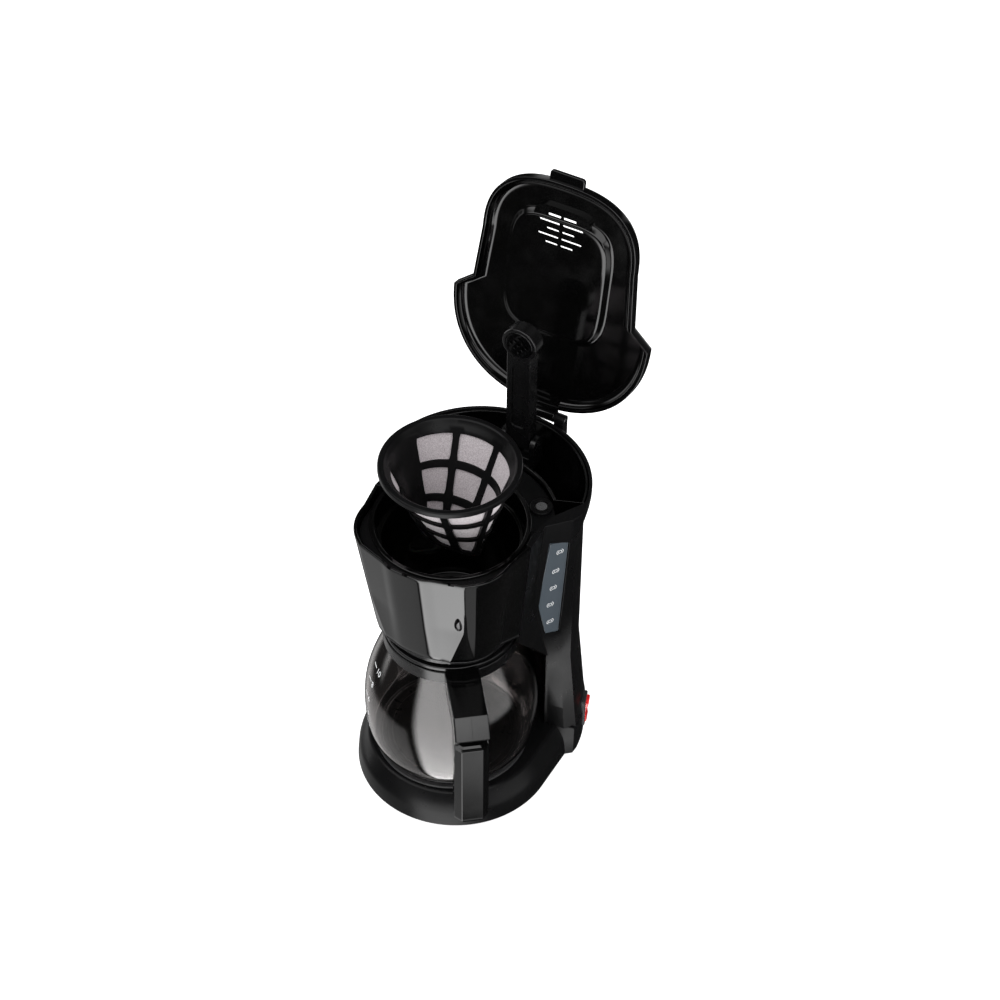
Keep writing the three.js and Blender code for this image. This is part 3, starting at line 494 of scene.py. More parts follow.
# Dark non-stick coat of the warming plate, with a fine orange peel.
ENAMEL = grained(
    "plate_coating", (0.02, 0.02, 0.021), 0.35,
    tint=((900, 3), (0.015, 0.015, 0.016), (0.035, 0.035, 0.036)),
    wear=((200, 4), 0.25, 0.42), grain=((1200, 3), 0.03, 0.6)).material
CERAMIC = grained(
    "ceramic", (0.75, 0.73, 0.67), 0.6,
    tint=((150, 4), (0.7, 0.68, 0.62), (0.8, 0.78, 0.73)), grain=((900, 3), 0.04, 0.6)).material
SILICONE = grained(
    "silicone", (0.72, 0.7, 0.66), 0.5,
    wear=((200, 3), 0.42, 0.6), grain=((500, 2), 0.03, 0.5),
    Subsurface_Weight=0.3, Subsurface_Scale=0.002).material
RUBBER = grained(
    "rubber", (0.035, 0.035, 0.037), 0.8,
    tint=((120, 4), (0.028, 0.028, 0.03), (0.05, 0.05, 0.052)), grain=((1500, 4), 0.06, 0.8)).material
RED = grained(
    "red_clear", (0.75, 0.02, 0.02), 0.18,
    tint=((150, 3), (0.6, 0.012, 0.014), (0.85, 0.03, 0.03)), grain=((400, 2), 0.01, 0.4),
    Coat_Weight=0.6, Coat_Roughness=0.06, Subsurface_Weight=0.5, Subsurface_Scale=0.003).material
CLOTH = filter_cloth()
INK = grained(
    "print_white", (0.8, 0.82, 0.83), 0.5,
    tint=((500, 3), (0.7, 0.72, 0.73), (0.88, 0.89, 0.9)), grain=((900, 2), 0.01, 0.4)).material


# ---- Body: base and column ----

def base_outline(front, foot):
    side = [(front, 1.6), (foot - 0.7, 5.2)]
    return [
        *arc(0, -34, front, 180, 360, 96),
        *side,
        *arc(0, TANK_Y, foot, 6, 174, 96),
        *mirrored(side),
    ]


def base_front(z):
    """Radius of the base's front: a straight skirt, then a soft shoulder up to the deck."""
    if z <= 14:
        return mix(72.5, 71.5, (z - 2) / 12)
    return 64 + 7.5 * (1 - ((z - 14) / 16) ** 1.5)


def base_solid():
    rings = []
    for z, inset in edge_steps(2, -1, 0.8) + [(8, 0), (14, 0), (17, 0), (20, 0), (23, 0), (26, 0)]:
        foot = mix(77.5, FOOT_RADIUS, min((z - 2) / 12, 1))
        rings.append(at(base_outline(base_front(z) - inset, foot - inset), z))
    for z, inset in edge_steps(DECK_Z, 1, 1.6, 5):
        rings.append(at(base_outline(base_front(z) - inset, FOOT_RADIUS - inset), z))
    return skin("body_cover", rings)


# Height, gauge facet's two edges, wing's front edge, radius and half angle of the hollow front.
COLUMN_LEVELS = [
    (COLUMN_FOOT_Z, (70.4, 2.2), (57, 0.8), (55.5, -0.5), JUG_BAY_RADIUS, 38),
    (SHOULDER_Z, (64, 4.7), (56.5, 0.2), (55.3, -0.5), JUG_BAY_RADIUS, 38),
    (150, (67.1, 3), (55.5, -15.4), (53.5, WING_Y), 50.5, 3),
    (173, (68.5, 2.1), (55, -23), (54.7, WING_Y), 51.5, 3),
    (220, (71.5, 0.3), (57.8, -18.5), (58.8, WING_Y), 55, 3),
    (RIM_Z, (73.2, -0.6), (59.4, -16), (61, WING_Y), RIM_FRONT_RADIUS, 3),
]


def column_level(z):
    """The column's sizes at a height, between the two nearest levels."""
    for low, high in zip(COLUMN_LEVELS, COLUMN_LEVELS[1:]):
        if z <= high[0]:
            break
    t = (z - low[0]) / (high[0] - low[0])

    def between(a, b):
        if isinstance(a, tuple):
            return tuple(mix(p, q, t) for p, q in zip(a, b))
        return mix(a, b, t)

    return [between(a, b) for a, b in zip(low[1:], high[1:])]


def column_rear(z):
    """Back radius: it leans in from the foot, stands straight, then opens out to the rim."""
    if z < SHOULDER_Z:
        t = (z - COLUMN_FOOT_Z) / (SHOULDER_Z - COLUMN_FOOT_Z)
        return mix(COLUMN_FOOT_RADIUS, COLUMN_RADIUS, t)
    return mix(COLUMN_RADIUS, RIM_RADIUS, ease((z - 214) / 32))


def column_outline(z):
    edge, facet, wing, front, opening = column_level(z)
    side = [wing, facet, edge]
    return [
        *side,
        *arc(0, TANK_Y, column_rear(z), 4, 176, 96),
        *mirrored(side),
        *arc(0, BREW_Y, front, 180 - opening, opening, 64),
    ]


def column_solid():
    heights = [COLUMN_FOOT_Z, 50, 76, SHOULDER_Z, 126, 150, 173, 196, 212, 220, 226, 232, 238, 243]
    rings = [at(column_outline(z), z) for z in heights]
    rings += [at(grown(column_outline(z), -inset), z) for z, inset in edge_steps(RIM_Z, 1, 0.8)]
    return skin("column", rings)


def crescent(rear, front, half_angle):
    """Between the round back and a wall that curves round the jug's axis."""
    return [
        *arc(0, TANK_Y, rear, 12, 168, 88),
        *arc(0, BREW_Y, front, 180 - half_angle, half_angle, 64),
    ]


def column_hollow():
    levels = [
        (26.6, FOOT_RADIUS - 0.8, JUG_BAY_RADIUS, 42), (SHOULDER_Z, COLUMN_RADIUS, JUG_BAY_RADIUS, 42),
        (150, COLUMN_RADIUS, 54.5, 25), (173, COLUMN_RADIUS, 53.5, 25), (214, COLUMN_RADIUS, 54.6, 25)]
    for z in (222, 230, 238, 245):
        levels.append((z, column_rear(z), mix(55, RIM_FRONT_RADIUS, (z - 220) / 28), 25))
    rings = [at(crescent(rear - WALL, front + WALL, angle), z) for z, rear, front, angle in levels]
    rear, front = RIM_RADIUS - WALL, RIM_FRONT_RADIUS + WALL
    for z, inset in edge_steps(RIM_Z + 0.1, 1, 0.7):
        rings.append(at(crescent(rear + inset, front - inset, 25), z))
    return skin("column_hollow", rings)


def base_hollow():
    rings = [at(base_outline(front - WALL, foot - WALL), z) for z, front, foot in (
        (1, 72.5, 77.5), (14, 71.5, FOOT_RADIUS), (27.6, 66, FOOT_RADIUS))]
    return skin("base_hollow", rings)


def head_sizes(z):
    """Half width, reach and centre of the brew head's bow, and where its sides meet the wings."""
    t = (z - HEAD_BOTTOM) / (RIM_Z - HEAD_BOTTOM)
    return mix(47, 57.5, t), mix(37.5, 44, t), mix(-52, -58, t), mix(53.9, 60.8, t)


def brew_deck_outline(grow):
    rear = TANK_FRONT_RADIUS - 0.7 + grow
    side = [(58.3 + grow, -6), (55.4 + grow, -20), (55.2 + grow, WING_Y - GAP)]
    return [
        *head_front(BREW_DECK_BOTTOM, WALL + SLACK - grow),
        *side[::-1],
        *arc(0, BREW_Y, rear, 32, 148, 64),
        *mirrored(side[::-1]),
    ]


def arm_slot():
    half = ARM_WIDTH / 2 + 1.6
    return box("arm_slot", -half, half, BREW_Y + 40, ARM_Y - 5, ARM_Z - ARM_DEPTH / 2 - 1.2, RIM_Z + 5)


GAUGE_SINK = 1.4
GAUGE_PANE = 2.4


def gauge_frame():
    """Placement of the gauge window, sunk into its facet: x across it, y up it."""
    shoulder, bulge, rim = COLUMN_LEVELS[1], COLUMN_LEVELS[3], COLUMN_LEVELS[-1]
    origin = Vector((*shoulder[1], shoulder[0]))
    up = (Vector((*rim[1], rim[0])) - origin).normalized()
    across = Vector((*bulge[2], bulge[0])) - Vector((*bulge[1], bulge[0]))
    across = (across - up * across.dot(up)).normalized()
    inward = across.cross(up)
    axes = Matrix((across, up, inward)).transposed()
    return Matrix.Translation(origin + inward * GAUGE_SINK) @ axes.to_4x4()


def gauge_outline(radius):
    return filleted([(1.7, 123, radius), (3, 28, radius), (14.1, 32, radius),
                     (22.9, 68.5, radius), (16.6, 128, radius)])


def on_gauge(name, points, inward, outward, edge=0.0):
    return moved(prism(name, points, -outward, inward, edge), gauge_frame())


def switch_frame():
    turn = math.radians(SWITCH_TURN)
    x = FOOT_RADIUS * math.cos(turn)
    y = TANK_Y + FOOT_RADIUS * math.sin(turn)
    return Matrix.Translation((x, y, SWITCH_Z)) @ Matrix.Rotation(turn, 4, "Z")


def hinge_ears():
    ears = []
    for side in (-1, 1):
        near = TONGUE_HALF_WIDTH + SLACK
        x0, x1 = sorted((side * near, side * (near + 7.5)))
        ear = rod("ear", HINGE_BARREL, (x0, HINGE_Y, HINGE_Z), (x1, HINGE_Y, HINGE_Z))
        web = box("web", x0 + 0.1, x1 - 0.1, HINGE_Y - 3.4, HINGE_Y + 3.4, HINGE_Z - 6, HINGE_Z)
        root = box("root", x0 + 0.1, x1 - 0.1, HINGE_Y - 9, HINGE_Y + 3.4, HINGE_Z - 14, HINGE_Z - 5)
        ears.append(fuse(ear, web, root))
    return ears


def make_body():
    body = fuse(base_solid(), column_solid())
    carve(body, base_hollow(), column_hollow())
    fuse(body, *hinge_ears())
    half_width, half_height = SWITCH_WIDTH / 2 + GAP, SWITCH_HEIGHT / 2 + GAP
    switch_hole = box("switch_hole", -12, 6, -half_width, half_width, -half_height, half_height)
    carve(
        body,
        lathe("plate_hole", [(0, 25), (PLATE_RADIUS - 4, 25), (PLATE_RADIUS - 4, 31), (0, 31)], 0, BREW_Y),
        skin("deck_pocket", [at(brew_deck_outline(SLACK), BREW_DECK_BOTTOM - GAP),
                             at(brew_deck_outline(SLACK), RIM_Z + 2)]),
        arm_slot(),
        rod("pin_hole", HINGE_PIN + GAP, (-60, HINGE_Y, HINGE_Z), (60, HINGE_Y, HINGE_Z)),
        on_gauge("gauge_recess", grown(gauge_outline(1), GAP), GAUGE_PANE + GAP, 5),
        moved(switch_hole, switch_frame()),
        rod("gland_hole", 6.3, (0, 68, GLAND_Z), (0, 88, GLAND_Z)),
    )
    soften(body, 0.7, 3, 24)
    piece(body, "housing", BODY, "satin_black", "body_shell")


def cup_icon(centre_x, centre_y):
    """A cup on its saucer seen from above: outlines a few tenths of a millimetre wide."""
    rings = ((1.5, 1.6, 0, 360), (2.8, 2.6, 120, 240), (2.8, 2.6, -60, 60))
    parts = []
    for half_width, half_height, start, end in rings:
        outer = bow(centre_x, centre_y, half_width, half_height, 2, start, end, 24)
        inner = bow(centre_x, centre_y, half_width - 0.4, half_height - 0.4, 2, start, end, 24)
        parts.append((outer, inner))
    return parts


def strip_mesh(name, strips, thickness, place):
    """Flat printed strips between pairs of lines, each with a little thickness."""
    vertices, faces = [], []
    for outer, inner in strips:
        base = len(vertices)
        for z in (0, thickness):
            vertices += [place(x, y, z) for x, y in outer]
            vertices += [place(x, y, z) for x, y in inner]
        n = len(outer)
        for i in range(n - 1):
            a, b, c, d = base + i, base + i + 1, base + n + i + 1, base + n + i
            faces += [(a, b, c, d), tuple(k + 2 * n for k in (d, c, b, a))]
            faces += [(b, a, a + 2 * n, b + 2 * n), (d, c, c + 2 * n, d + 2 * n)]
        first, last = base, base + n - 1
        faces += [(first, first + n, first + 3 * n, first + 2 * n)]
        faces += [(last + n, last, last + 2 * n, last + 3 * n)]
    return mesh_object(name, vertices, faces)


def make_gauge():
    window = on_gauge("gauge_window_pane", gauge_outline(0.8), GAUGE_PANE, 0.0, 0.25)
    piece(window, "housing", WINDOW, "smoke_window", "gauge_window")
    placement = gauge_frame()
    centres = [(8.1, 116), (10.2, 97.2), (11, 79.8), (12.2, 62.4), (11, 43.5)]
    strips = [strip for x, y in centres for strip in cup_icon(x, y)]
    marks = strip_mesh("gauge_marks", strips, 0.06, lambda x, y, z: placement @ Vector((x, y, -z)))
    piece(marks, "housing", INK, "smoke_window", weighted=False)


def make_gland():
    profile = filleted([(3.2, 0, 0.3), (6, 0, 0.3), (6, 7.3, 0), (8, 7.3, 0.3), (8, 9, 0.7), (5, 10, 0.5),
                        (3.2, 9.6, 0.4)])
    gland = lathe("cord_gland_bush", profile, steps=64)
    moved(gland, Matrix.Translation((0, 73.1, GLAND_Z)) @ turned(-90, "X"))
    piece(gland, "housing", RUBBER, "rubber", "cord_gland")


def make_underside():
    outline = base_outline(72.5 - WALL - SLACK, 77.5 - WALL - SLACK)
    cover = prism("bottom_tray", outline, 2.6, 4.8, 0.5)
    screws = [(-56, BREW_Y), (56, BREW_Y), (-34, 19), (34, 19)]
    feet = [(-46, -66), (46, -66), (-48, 36), (48, 36)]
    tools = [rod("hole", 1.9, (x, y, 0), (x, y, 9), 24) for x, y in screws]
    tools += [rod("hole", 3.3, (x, y, 0), (x, y, 9), 32) for x, y in feet]
    for row in range(-4, 5):
        slot = rounded(-18, 18, -1.1, 1.1, 1)
        slot_tool = skin("vent", [at(slot, 0), at(slot, 9)])
        tools.append(moved(slot_tool, Matrix.Translation((0, BREW_Y + row * 5, 0))))
    carve(cover, *tools)
    piece(cover, "housing", MATT, "matt_black", "bottom_cover")
    for number, (x, y) in enumerate(feet, 1):
        profile = filleted([
            (0, 0.5, 0), (4.6, 0.5, 0.3), (5.2, 0, 0.3), (7, 0, 0.7), (7, 2.3, 0.3),
            (3, 2.3, 0.1), (3, 5.1, 0.1), (4, 5.8, 0.3), (2.4, 7.2, 0.4), (0, 7.2, 0)], 4)
        foot = lathe(f"rubber_foot_{number}", profile, x, y, 64)
        piece(foot, "housing", RUBBER, "rubber", f"foot_{number}")


def make_plate():
    profile = filleted([(0, 33, 0), (44, 33, 0.4), (44.6, 32.4, 0.4), (47.6, 32.4, 0.4), (48.2, 33, 0.4),
                        (50.6, 33, 1.2), (52, 31.6, 1), (52, 30.3, 0.3), (47.3, 30.3, 0.2), (47.3, 29, 0.2),
                        (0, 29, 0)], 4)
    plate = lathe("warming_plate_disc", profile, 0, BREW_Y)
    piece(plate, "housing", ENAMEL, "aluminium", "warming_plate")
    ring = lathe("plate_ring_trim", filleted([(52.4, 30.3, 0.1), (56, 30.3, 0.2), (55.4, 31.6, 0.7),
                                              (52.4, 32, 0.5)], 4), 0, BREW_Y)
    piece(ring, "housing", MATT, "matt_black", "plate_ring")


def make_switch():
    outer = rounded(-SWITCH_WIDTH / 2, SWITCH_WIDTH / 2, -SWITCH_HEIGHT / 2, SWITCH_HEIGHT / 2, 2)
    inner = rounded(-5.2, 5.2, -11.2, 11.2, 1)
    frame_turn = turned(90, "Y") @ turned(90, "Z")
    bezel = prism("switch_bezel_frame", outer, -9, 1.2, 0.7)
    well = skin("well", [at(inner, -7.4), at(inner, 0.7), at(grown(inner, 0.6), 3)])
    carve(bezel, well)
    moved(bezel, switch_frame() @ frame_turn)
    piece(bezel, "housing", MATT, "matt_black", "switch_bezel")
    side = filleted([(-4, -7, 0.4), (-0.6, -10.4, 0.8), (2.4, -10, 0.9), (1.4, 0, 8), (3.6, 10, 0.9),
                     (0.6, 10.4, 0.8), (-4, 7, 0.4)], 8)
    half = SWITCH_WIDTH / 2 - 1.8 - GAP
    rocker = prism("rocker_button", side, -half, half, 0.6)
    moved(rocker, switch_frame() @ turned(90, "X"))
    piece(rocker, "rocker", RED, "red_clear", "switch_rocker")


# ---- Water path and brew space ----

def make_tank():
    rear, rim = COLUMN_RADIUS - WALL - SLACK, RIM_RADIUS - WALL - SLACK
    top = RIM_Z - 0.8

    def rear_at(z):
        return mix(rear, rim, ease((z - 216) / 30))

    outer = [(TANK_FLOOR + 1, 1, rear), (TANK_FLOOR + 2, 0, rear), (140, 0, rear)]
    outer += [(z, 0, rear_at(z)) for z in (212, 220, 226, 232, 238, 243)]
    outer += [(z, inset, rim) for z, inset in edge_steps(top, 1, 0.7)]
    inner = [(TANK_FLOOR + TANK_WALL, 3, rear), (TANK_FLOOR + 3, 0.9, rear), (TANK_FLOOR + 5, 0, rear),
             (140, 0, rear)]
    inner += [(z, 0, rear_at(z)) for z in (212, 220, 226, 232, 238, 243)]
    inner += [(z, -inset, rim) for z, inset in edge_steps(top + 0.1, 1, 0.7)]
    tank = skin("tank_shell", [at(crescent(r - i, TANK_FRONT_RADIUS + i, 44), z) for z, i, r in outer])
    hollow = skin("hollow", [at(crescent(r - TANK_WALL - i, TANK_FRONT_RADIUS + TANK_WALL + i, 44), z)
                             for z, i, r in inner])
    carve(
        tank,
        hollow,
        rod("outlet", 3.9, (25, 46, 60), (25, 46, 68)),
        rod("riser_hole", 4.5, (0, ARM_Y, 60), (0, ARM_Y, 68)),
        arm_slot(),
    )
    piece(tank, "housing", INNER, "satin_black", "water_tank")


def make_deck():
    deck = prism("brew_deck_plate", brew_deck_outline(0), BREW_DECK_BOTTOM, BREW_DECK_TOP, 0.6)
    places = [(-46.6, TANK_Y), (46.6, TANK_Y)]
    boss = filleted([(0, 242, 0), (8, 242, 0), (8, 245.6, 0.9), (4.8, 245.6, 0.5), (4.8, 243.6, 0.2),
                     (0, 243.6, 0)], 4)
    fuse(deck, *[lathe("boss", boss, x, y, 64) for x, y in places])
    hole = BASKET_MOUTH + 2.3
    profile = [(0, 238), (hole, 238), (hole, 242.4), (hole + 0.6, 243.1), (hole + 0.6, 246), (0, 246)]
    screw_holes = [rod("screw_hole", 1.9, (x, y, 238), (x, y, 247), 32) for x, y in places]
    carve(deck, lathe("hole", profile, 0, BREW_Y), arm_slot(), *screw_holes)
    piece(deck, "housing", BODY, "satin_black", "brew_deck")


def make_basket():
    profile = filleted([
        (0, BASKET_FLOOR, 0), (BASKET_FOOT, BASKET_FLOOR, 1.2), (BASKET_FOOT, HEAD_BOTTOM, 2),
        (53.2, BREW_DECK_BOTTOM, 0.2), (53.2, 243.3, 0.2), (54.9, 243.3, 0.2),
        (54.9, 245, 0.8), (BASKET_MOUTH, 245, 0.9), (48.7, 230.1, 0.3), (46.9, 230.1, 0.6),
        (39.5, HEAD_BOTTOM, 2),
        (39.5, 155, 1.5), (0, 155, 0)], 5)
    basket = lathe("basket_bowl", profile, 0, BREW_Y)
    valve_y = BREW_Y + 18
    pad = filleted([(0, 153.5, 0), (9.5, 153.5, 0), (9.5, 158.6, 1), (0, 158.6, 0)])
    fuse(basket, lathe("pad", pad, 0, valve_y, 64))
    carve(
        basket,
        lathe("spring_well", [(0, 150), (7.8, 150), (7.8, 157), (0, 157)], 0, valve_y, 64),
        lathe("drip_hole", [(0, 150), (3, 150), (3, 160), (0, 160)], 0, valve_y, 48),
        arm_slot(),
    )
    piece(basket, "housing", INNER, "satin_black", "brew_basket")


def make_pivot_block():
    inner, outer = ARM_WIDTH / 2 + SLACK, ARM_WIDTH / 2 + SLACK + 4
    near, far = ARM_Y - 7, ARM_Y + 7
    outline = [(-outer, near), (outer, near), (outer, far), (-outer, far)]
    foot = prism("pivot_bracket", outline, 224, 232, 0.8)
    for side in (-1, 1):
        x0, x1 = sorted((side * inner, side * outer))
        cheek = filleted([(near, -231, 0), (far, -231, 0), (far, -248, 6), (near, -248, 6)], 8)
        wall = prism("cheek", cheek, x0, x1, 0.5)
        moved(wall, Matrix(((0, 0, 1, 0), (1, 0, 0, 0), (0, -1, 0, 0), (0, 0, 0, 1))))
        fuse(foot, wall)
    carve(
        foot,
        rod("bore", 2.6, (0, ARM_Y, 220), (0, ARM_Y, 236)),
        rod("pin_hole", HINGE_PIN + GAP, (-40, ARM_Y, ARM_Z), (40, ARM_Y, ARM_Z)),
    )
    piece(foot, "housing", SATIN, "satin_black", "pivot_block")


# ---- Brew head ----

def fascia_edges(z):
    """Half widths of the fascia's creases: a triangle that widens low down, then a narrow facet."""
    t = (z - HEAD_BOTTOM) / (RIM_Z - HEAD_BOTTOM)
    half_width = head_sizes(z)[0]
    first = mix(0.752, 0.715, t) * half_width
    last = mix(0.845, 0.806, t) * half_width
    low = mix(25.5, 37.5, (z - HEAD_BOTTOM) / 38)
    return min(low, first - 1), first, last


BEND_START = 8
BEND_LENGTH = 12
CREASE = 0.2


def head_front(z, inset):
    """Front bow of the head from left to right, flat between the creases of its corners."""
    half_width, reach, centre = head_sizes(z)[:3]
    half_width, reach = half_width - inset, reach - inset
    low, first, last = (edge - inset * 0.7 for edge in fascia_edges(z))

    def front_y(x):
        return centre - reach * (1 - min(x / half_width, 1) ** 2.3) ** (1 / 2.3)

    def chord(x, start, end):
        return mix(front_y(start), front_y(end), (x - start) / (end - start))

    def shaped_y(x):
        if x <= BEND_START or x >= last:
            return front_y(x)
        if x >= first:
            return chord(x, first, last)
        if x >= low:
            return chord(x, low, first)
        return mix(front_y(x), chord(x, BEND_START, low), ease((x - BEND_START) / BEND_LENGTH))

    stations = [BEND_START * i / 6 for i in range(1, 6)]
    stations += [mix(BEND_START, low - CREASE, i / 24) for i in range(25)]
    stations += [mix(low + CREASE, first - CREASE, i / 8) for i in range(9)]
    stations += [mix(first + CREASE, last - CREASE, i / 8) for i in range(9)]
    corner = math.acos(((last + CREASE) / half_width) ** 1.15)
    stations += [half_width * math.cos(corner * (1 - i / 32)) ** (1 / 1.15) for i in range(33)]
    right = [(x, shaped_y(x)) for x in stations]
    return [*mirrored(right), (0, front_y(0)), *right]


def head_ring(z, grow_in=0.0):
    """Closed outline of the head's wall: its outer face, then its inner face back again."""
    seam = head_sizes(z)[3]
    seam_y = WING_Y - GAP
    outer = [(-(seam - grow_in), seam_y), *head_front(z, grow_in), (seam - grow_in, seam_y)]
    inner_inset = WALL - grow_in
    inner = [(-(seam - inner_inset), seam_y), *head_front(z, inner_inset), (seam - inner_inset, seam_y)]
    return at(outer + inner[::-1], z)


def on_fascia(points, x, z, depth, height):
    """A tool that leaves a shape in the fascia: points across and up, cut to a depth."""
    line = head_front(z, 0)
    (x0, y0), (x1, y1) = next(pair for pair in zip(line, line[1:]) if pair[0][0] <= x < pair[1][0])
    place = Vector((x, mix(y0, y1, (x - x0) / (x1 - x0)), z))
    outward = Vector((y1 - y0, x0 - x1, 0)).normalized()
    normal = (outward - Vector((0, 0, 0.1))).normalized()
    up = (Vector((0, 0, 1)) - normal * normal.z).normalized()
    across = up.cross(normal)
    placement = Matrix((across, up, normal)).transposed().to_4x4()
    placement.translation = place
    rings = [at(grown(points, -1.3), -depth), at(grown(points, -0.7), -depth * 0.8),
             at(grown(points, -0.2), -depth * 0.35), at(points, 0), at(points, height)]
    return moved(skin("dimple", rings), placement)


def teardrop(half_width, low, high):
    return [(half_width * math.sin(a) * (1 - 0.25 * math.cos(a)), mix(low, high, (1 + math.cos(a)) / 2))
            for a in (2 * math.pi * i / 48 for i in range(48))][::-1]


def make_head():
    levels = [(z, 0) for z in range(164, 247, 3)]
    levels = edge_steps(HEAD_BOTTOM, -1, 0.8) + levels + edge_steps(RIM_Z, 1, 1.0)
    head = skin("head_front", [head_ring(z, inset) for z, inset in levels])
    notches = [(-13.5, -10), (-1, 3), (30, 34)]
    carve(head, *[box("notch", x0, x1, -125, -60, RIM_Z - 1.3, RIM_Z + 4) for x0, x1 in notches])
    carve(head, on_fascia(teardrop(2.7, -7.5, 7.5), 33.3, 204, 1.4, 4))
    piece(head, "housing", GLOSS, "gloss_black", "front_housing", sharp=30, weighted=False)

    seam = head_sizes(HEAD_BOTTOM)[3]
    plate = prism("head_underside", [
        *head_front(HEAD_BOTTOM, 0.4),
        (seam - 0.4, WING_Y - SLACK),
        *arc(0, BREW_Y, 49.6, 3, 177, 64),
        (-seam + 0.4, WING_Y - SLACK),
    ], 157.3, 159.7, 0.6)
    hole = BASKET_FOOT + 2.1
    carve(plate, lathe("hole", [(0, 150), (hole, 150), (hole, 165), (0, 165)], 0, BREW_Y))
    lip = lathe("lip", filleted([(hole - 0.05, 151, 0.4), (hole + 1.9, 151, 0.6), (hole + 1.9, 159.2, 0),
                                 (hole - 0.05, 159.2, 0)]), 0, BREW_Y)
    fuse(plate, lip)
    piece(plate, "housing", SATIN, "satin_black", "lower_cover")


# ---- Lid ----

LID_PLACE = Matrix.Translation((0, HINGE_Y, HINGE_Z)) @ turned(-LID_OPEN, "X")
LID_RIM = -0.6
LID_TOP = 8.4


def lid_outline(inset):
    step = [(61.5 - inset, -87.8), (75.5 - inset, -76.7)]
    return [
        *bow(0, -128, 58 - inset, LID_LENGTH - 128 - inset, 2.6, 180, 360, 128),
        *step,
        *bow(0, -78, 75.5 - inset, 72.5 - inset, 2.25, 1, 179, 128),
        *mirrored(step),
    ]


def lid_panel(inset):
    return bow(0, -107, 39.5 - inset, 47.5 - inset, 4.2, 0, 357, 119)


SLOT_MIDDLE = 143.1
SLOT_PITCH = 5.2
SLOT_HALF_HEIGHT = 0.85


def vent_opening(inset):
    return bow(0, -SLOT_MIDDLE, 21.5 - inset, 16.7 - inset, 5, 0, 357, 119)


def vent_slots():
    tools = []
    for row in range(-2, 3):
        v = -(SLOT_MIDDLE + row * SLOT_PITCH)
        low, high = v - SLOT_HALF_HEIGHT, v + SLOT_HALF_HEIGHT
        reach = 16.5 if row % 2 else 10.5
        for side in (-1, 1):
            x0, x1 = sorted((side * 1.1, side * reach))
            slot = rounded(x0, x1, low, high, 0.6)
            tools.append(skin("vent", [at(slot, -4), at(slot, 8)]))
    return tools


def make_lid():
    outer = edge_steps(LID_RIM, -1, 0.5) + [(3, 0)] + edge_steps(LID_TOP, 1, 3.0, 7)
    inner = [(LID_RIM - 1, WALL - 0.6), (LID_RIM, WALL - 0.6), (LID_RIM + 0.3, WALL - 0.15),
             (LID_RIM + 0.8, WALL), (4.4, WALL), (5.6, WALL + 0.6), (6, WALL + 2)]
    cover = skin("lid_shell", [at(lid_outline(inset), z) for z, inset in outer])
    carve(cover, skin("lid_hollow", [at(lid_outline(inset), z) for z, inset in inner]))
    half = TONGUE_HALF_WIDTH
    tab = filleted([(-13, -LID_LENGTH - 7, 2.5), (13, -LID_LENGTH - 7, 2.5), (13, -LID_LENGTH + 3, 0),
                    (-13, -LID_LENGTH + 3, 0)], 8)
    fuse(
        cover,
        box("tongue", -half, half, -10, 0, 0.6, 3.9),
        rod("barrel", HINGE_BARREL, (-half, 0, 0), (half, 0, 0)),
        prism("tab", tab, 1, 4, 0.7),
    )
    levels = [(0, 5), (0, LID_TOP - 0.6), (-0.8, LID_TOP + 0.2)]
    opening = [at(vent_opening(inset), z) for inset, z in levels]
    carve(cover, rod("pin_hole", HINGE_PIN + GAP, (-60, 0, 0), (60, 0, 0)), skin("opening", opening))
    piece(moved(cover, LID_PLACE), "lid", GLOSS, "gloss_black", "lid_cover")

    liner = prism("lid_lining", lid_outline(WALL + SLACK), 0.2, 5.6, 0.3)
    cove = [(-1, 3.1), (0.2, 3.3)]
    for i in range(1, 8):
        angle = math.pi / 2 * i / 7
        cove.append((mix(0.2, 4.4, math.sin(angle)), mix(3.4, 8.6, 1 - math.cos(angle))))
    carve(liner, skin("cove", [at(lid_outline(inset), z) for z, inset in cove]))
    slope = [(5, -1), (4.4, -1), (4.05, 0), (3.4, 1), (1.2, 2.6), (0.6, 3.3), (0.3, 4.4), (0.2, 5.8)]
    panel = skin("panel", [at(lid_panel(inset), z) for z, inset in slope[::-1]])
    fuse(liner, panel)
    carve(liner, skin("dish", [at(lid_panel(7.4), 1.5), at(lid_panel(3.6), 6.5)]))
    fuse(liner, skin("vent_collar", [at(vent_opening(0), 1), at(vent_opening(0), 5.7)]))
    channel = skin("channel", [at(vent_opening(1.4), 1.5), at(vent_opening(1.4), 8)])
    notch = box("notch", -half - 1, half + 1, -14, 2, -3, 8)
    carve(liner, channel, notch, *vent_slots())
    piece(moved(liner, LID_PLACE), "lid", INNER, "gloss_black", "lid_liner")

    reach = TONGUE_HALF_WIDTH + SLACK + 7.5
    pin = rod("lid_hinge_pin", HINGE_PIN, (-reach, HINGE_Y, HINGE_Z), (reach, HINGE_Y, HINGE_Z), 32)
    piece(pin, "housing", STEEL, "steel", "hinge_pin")


# ---- Spray arm ----

ARM_PLACE = Matrix.Translation((0, ARM_Y, ARM_Z)) @ turned(90, "X")


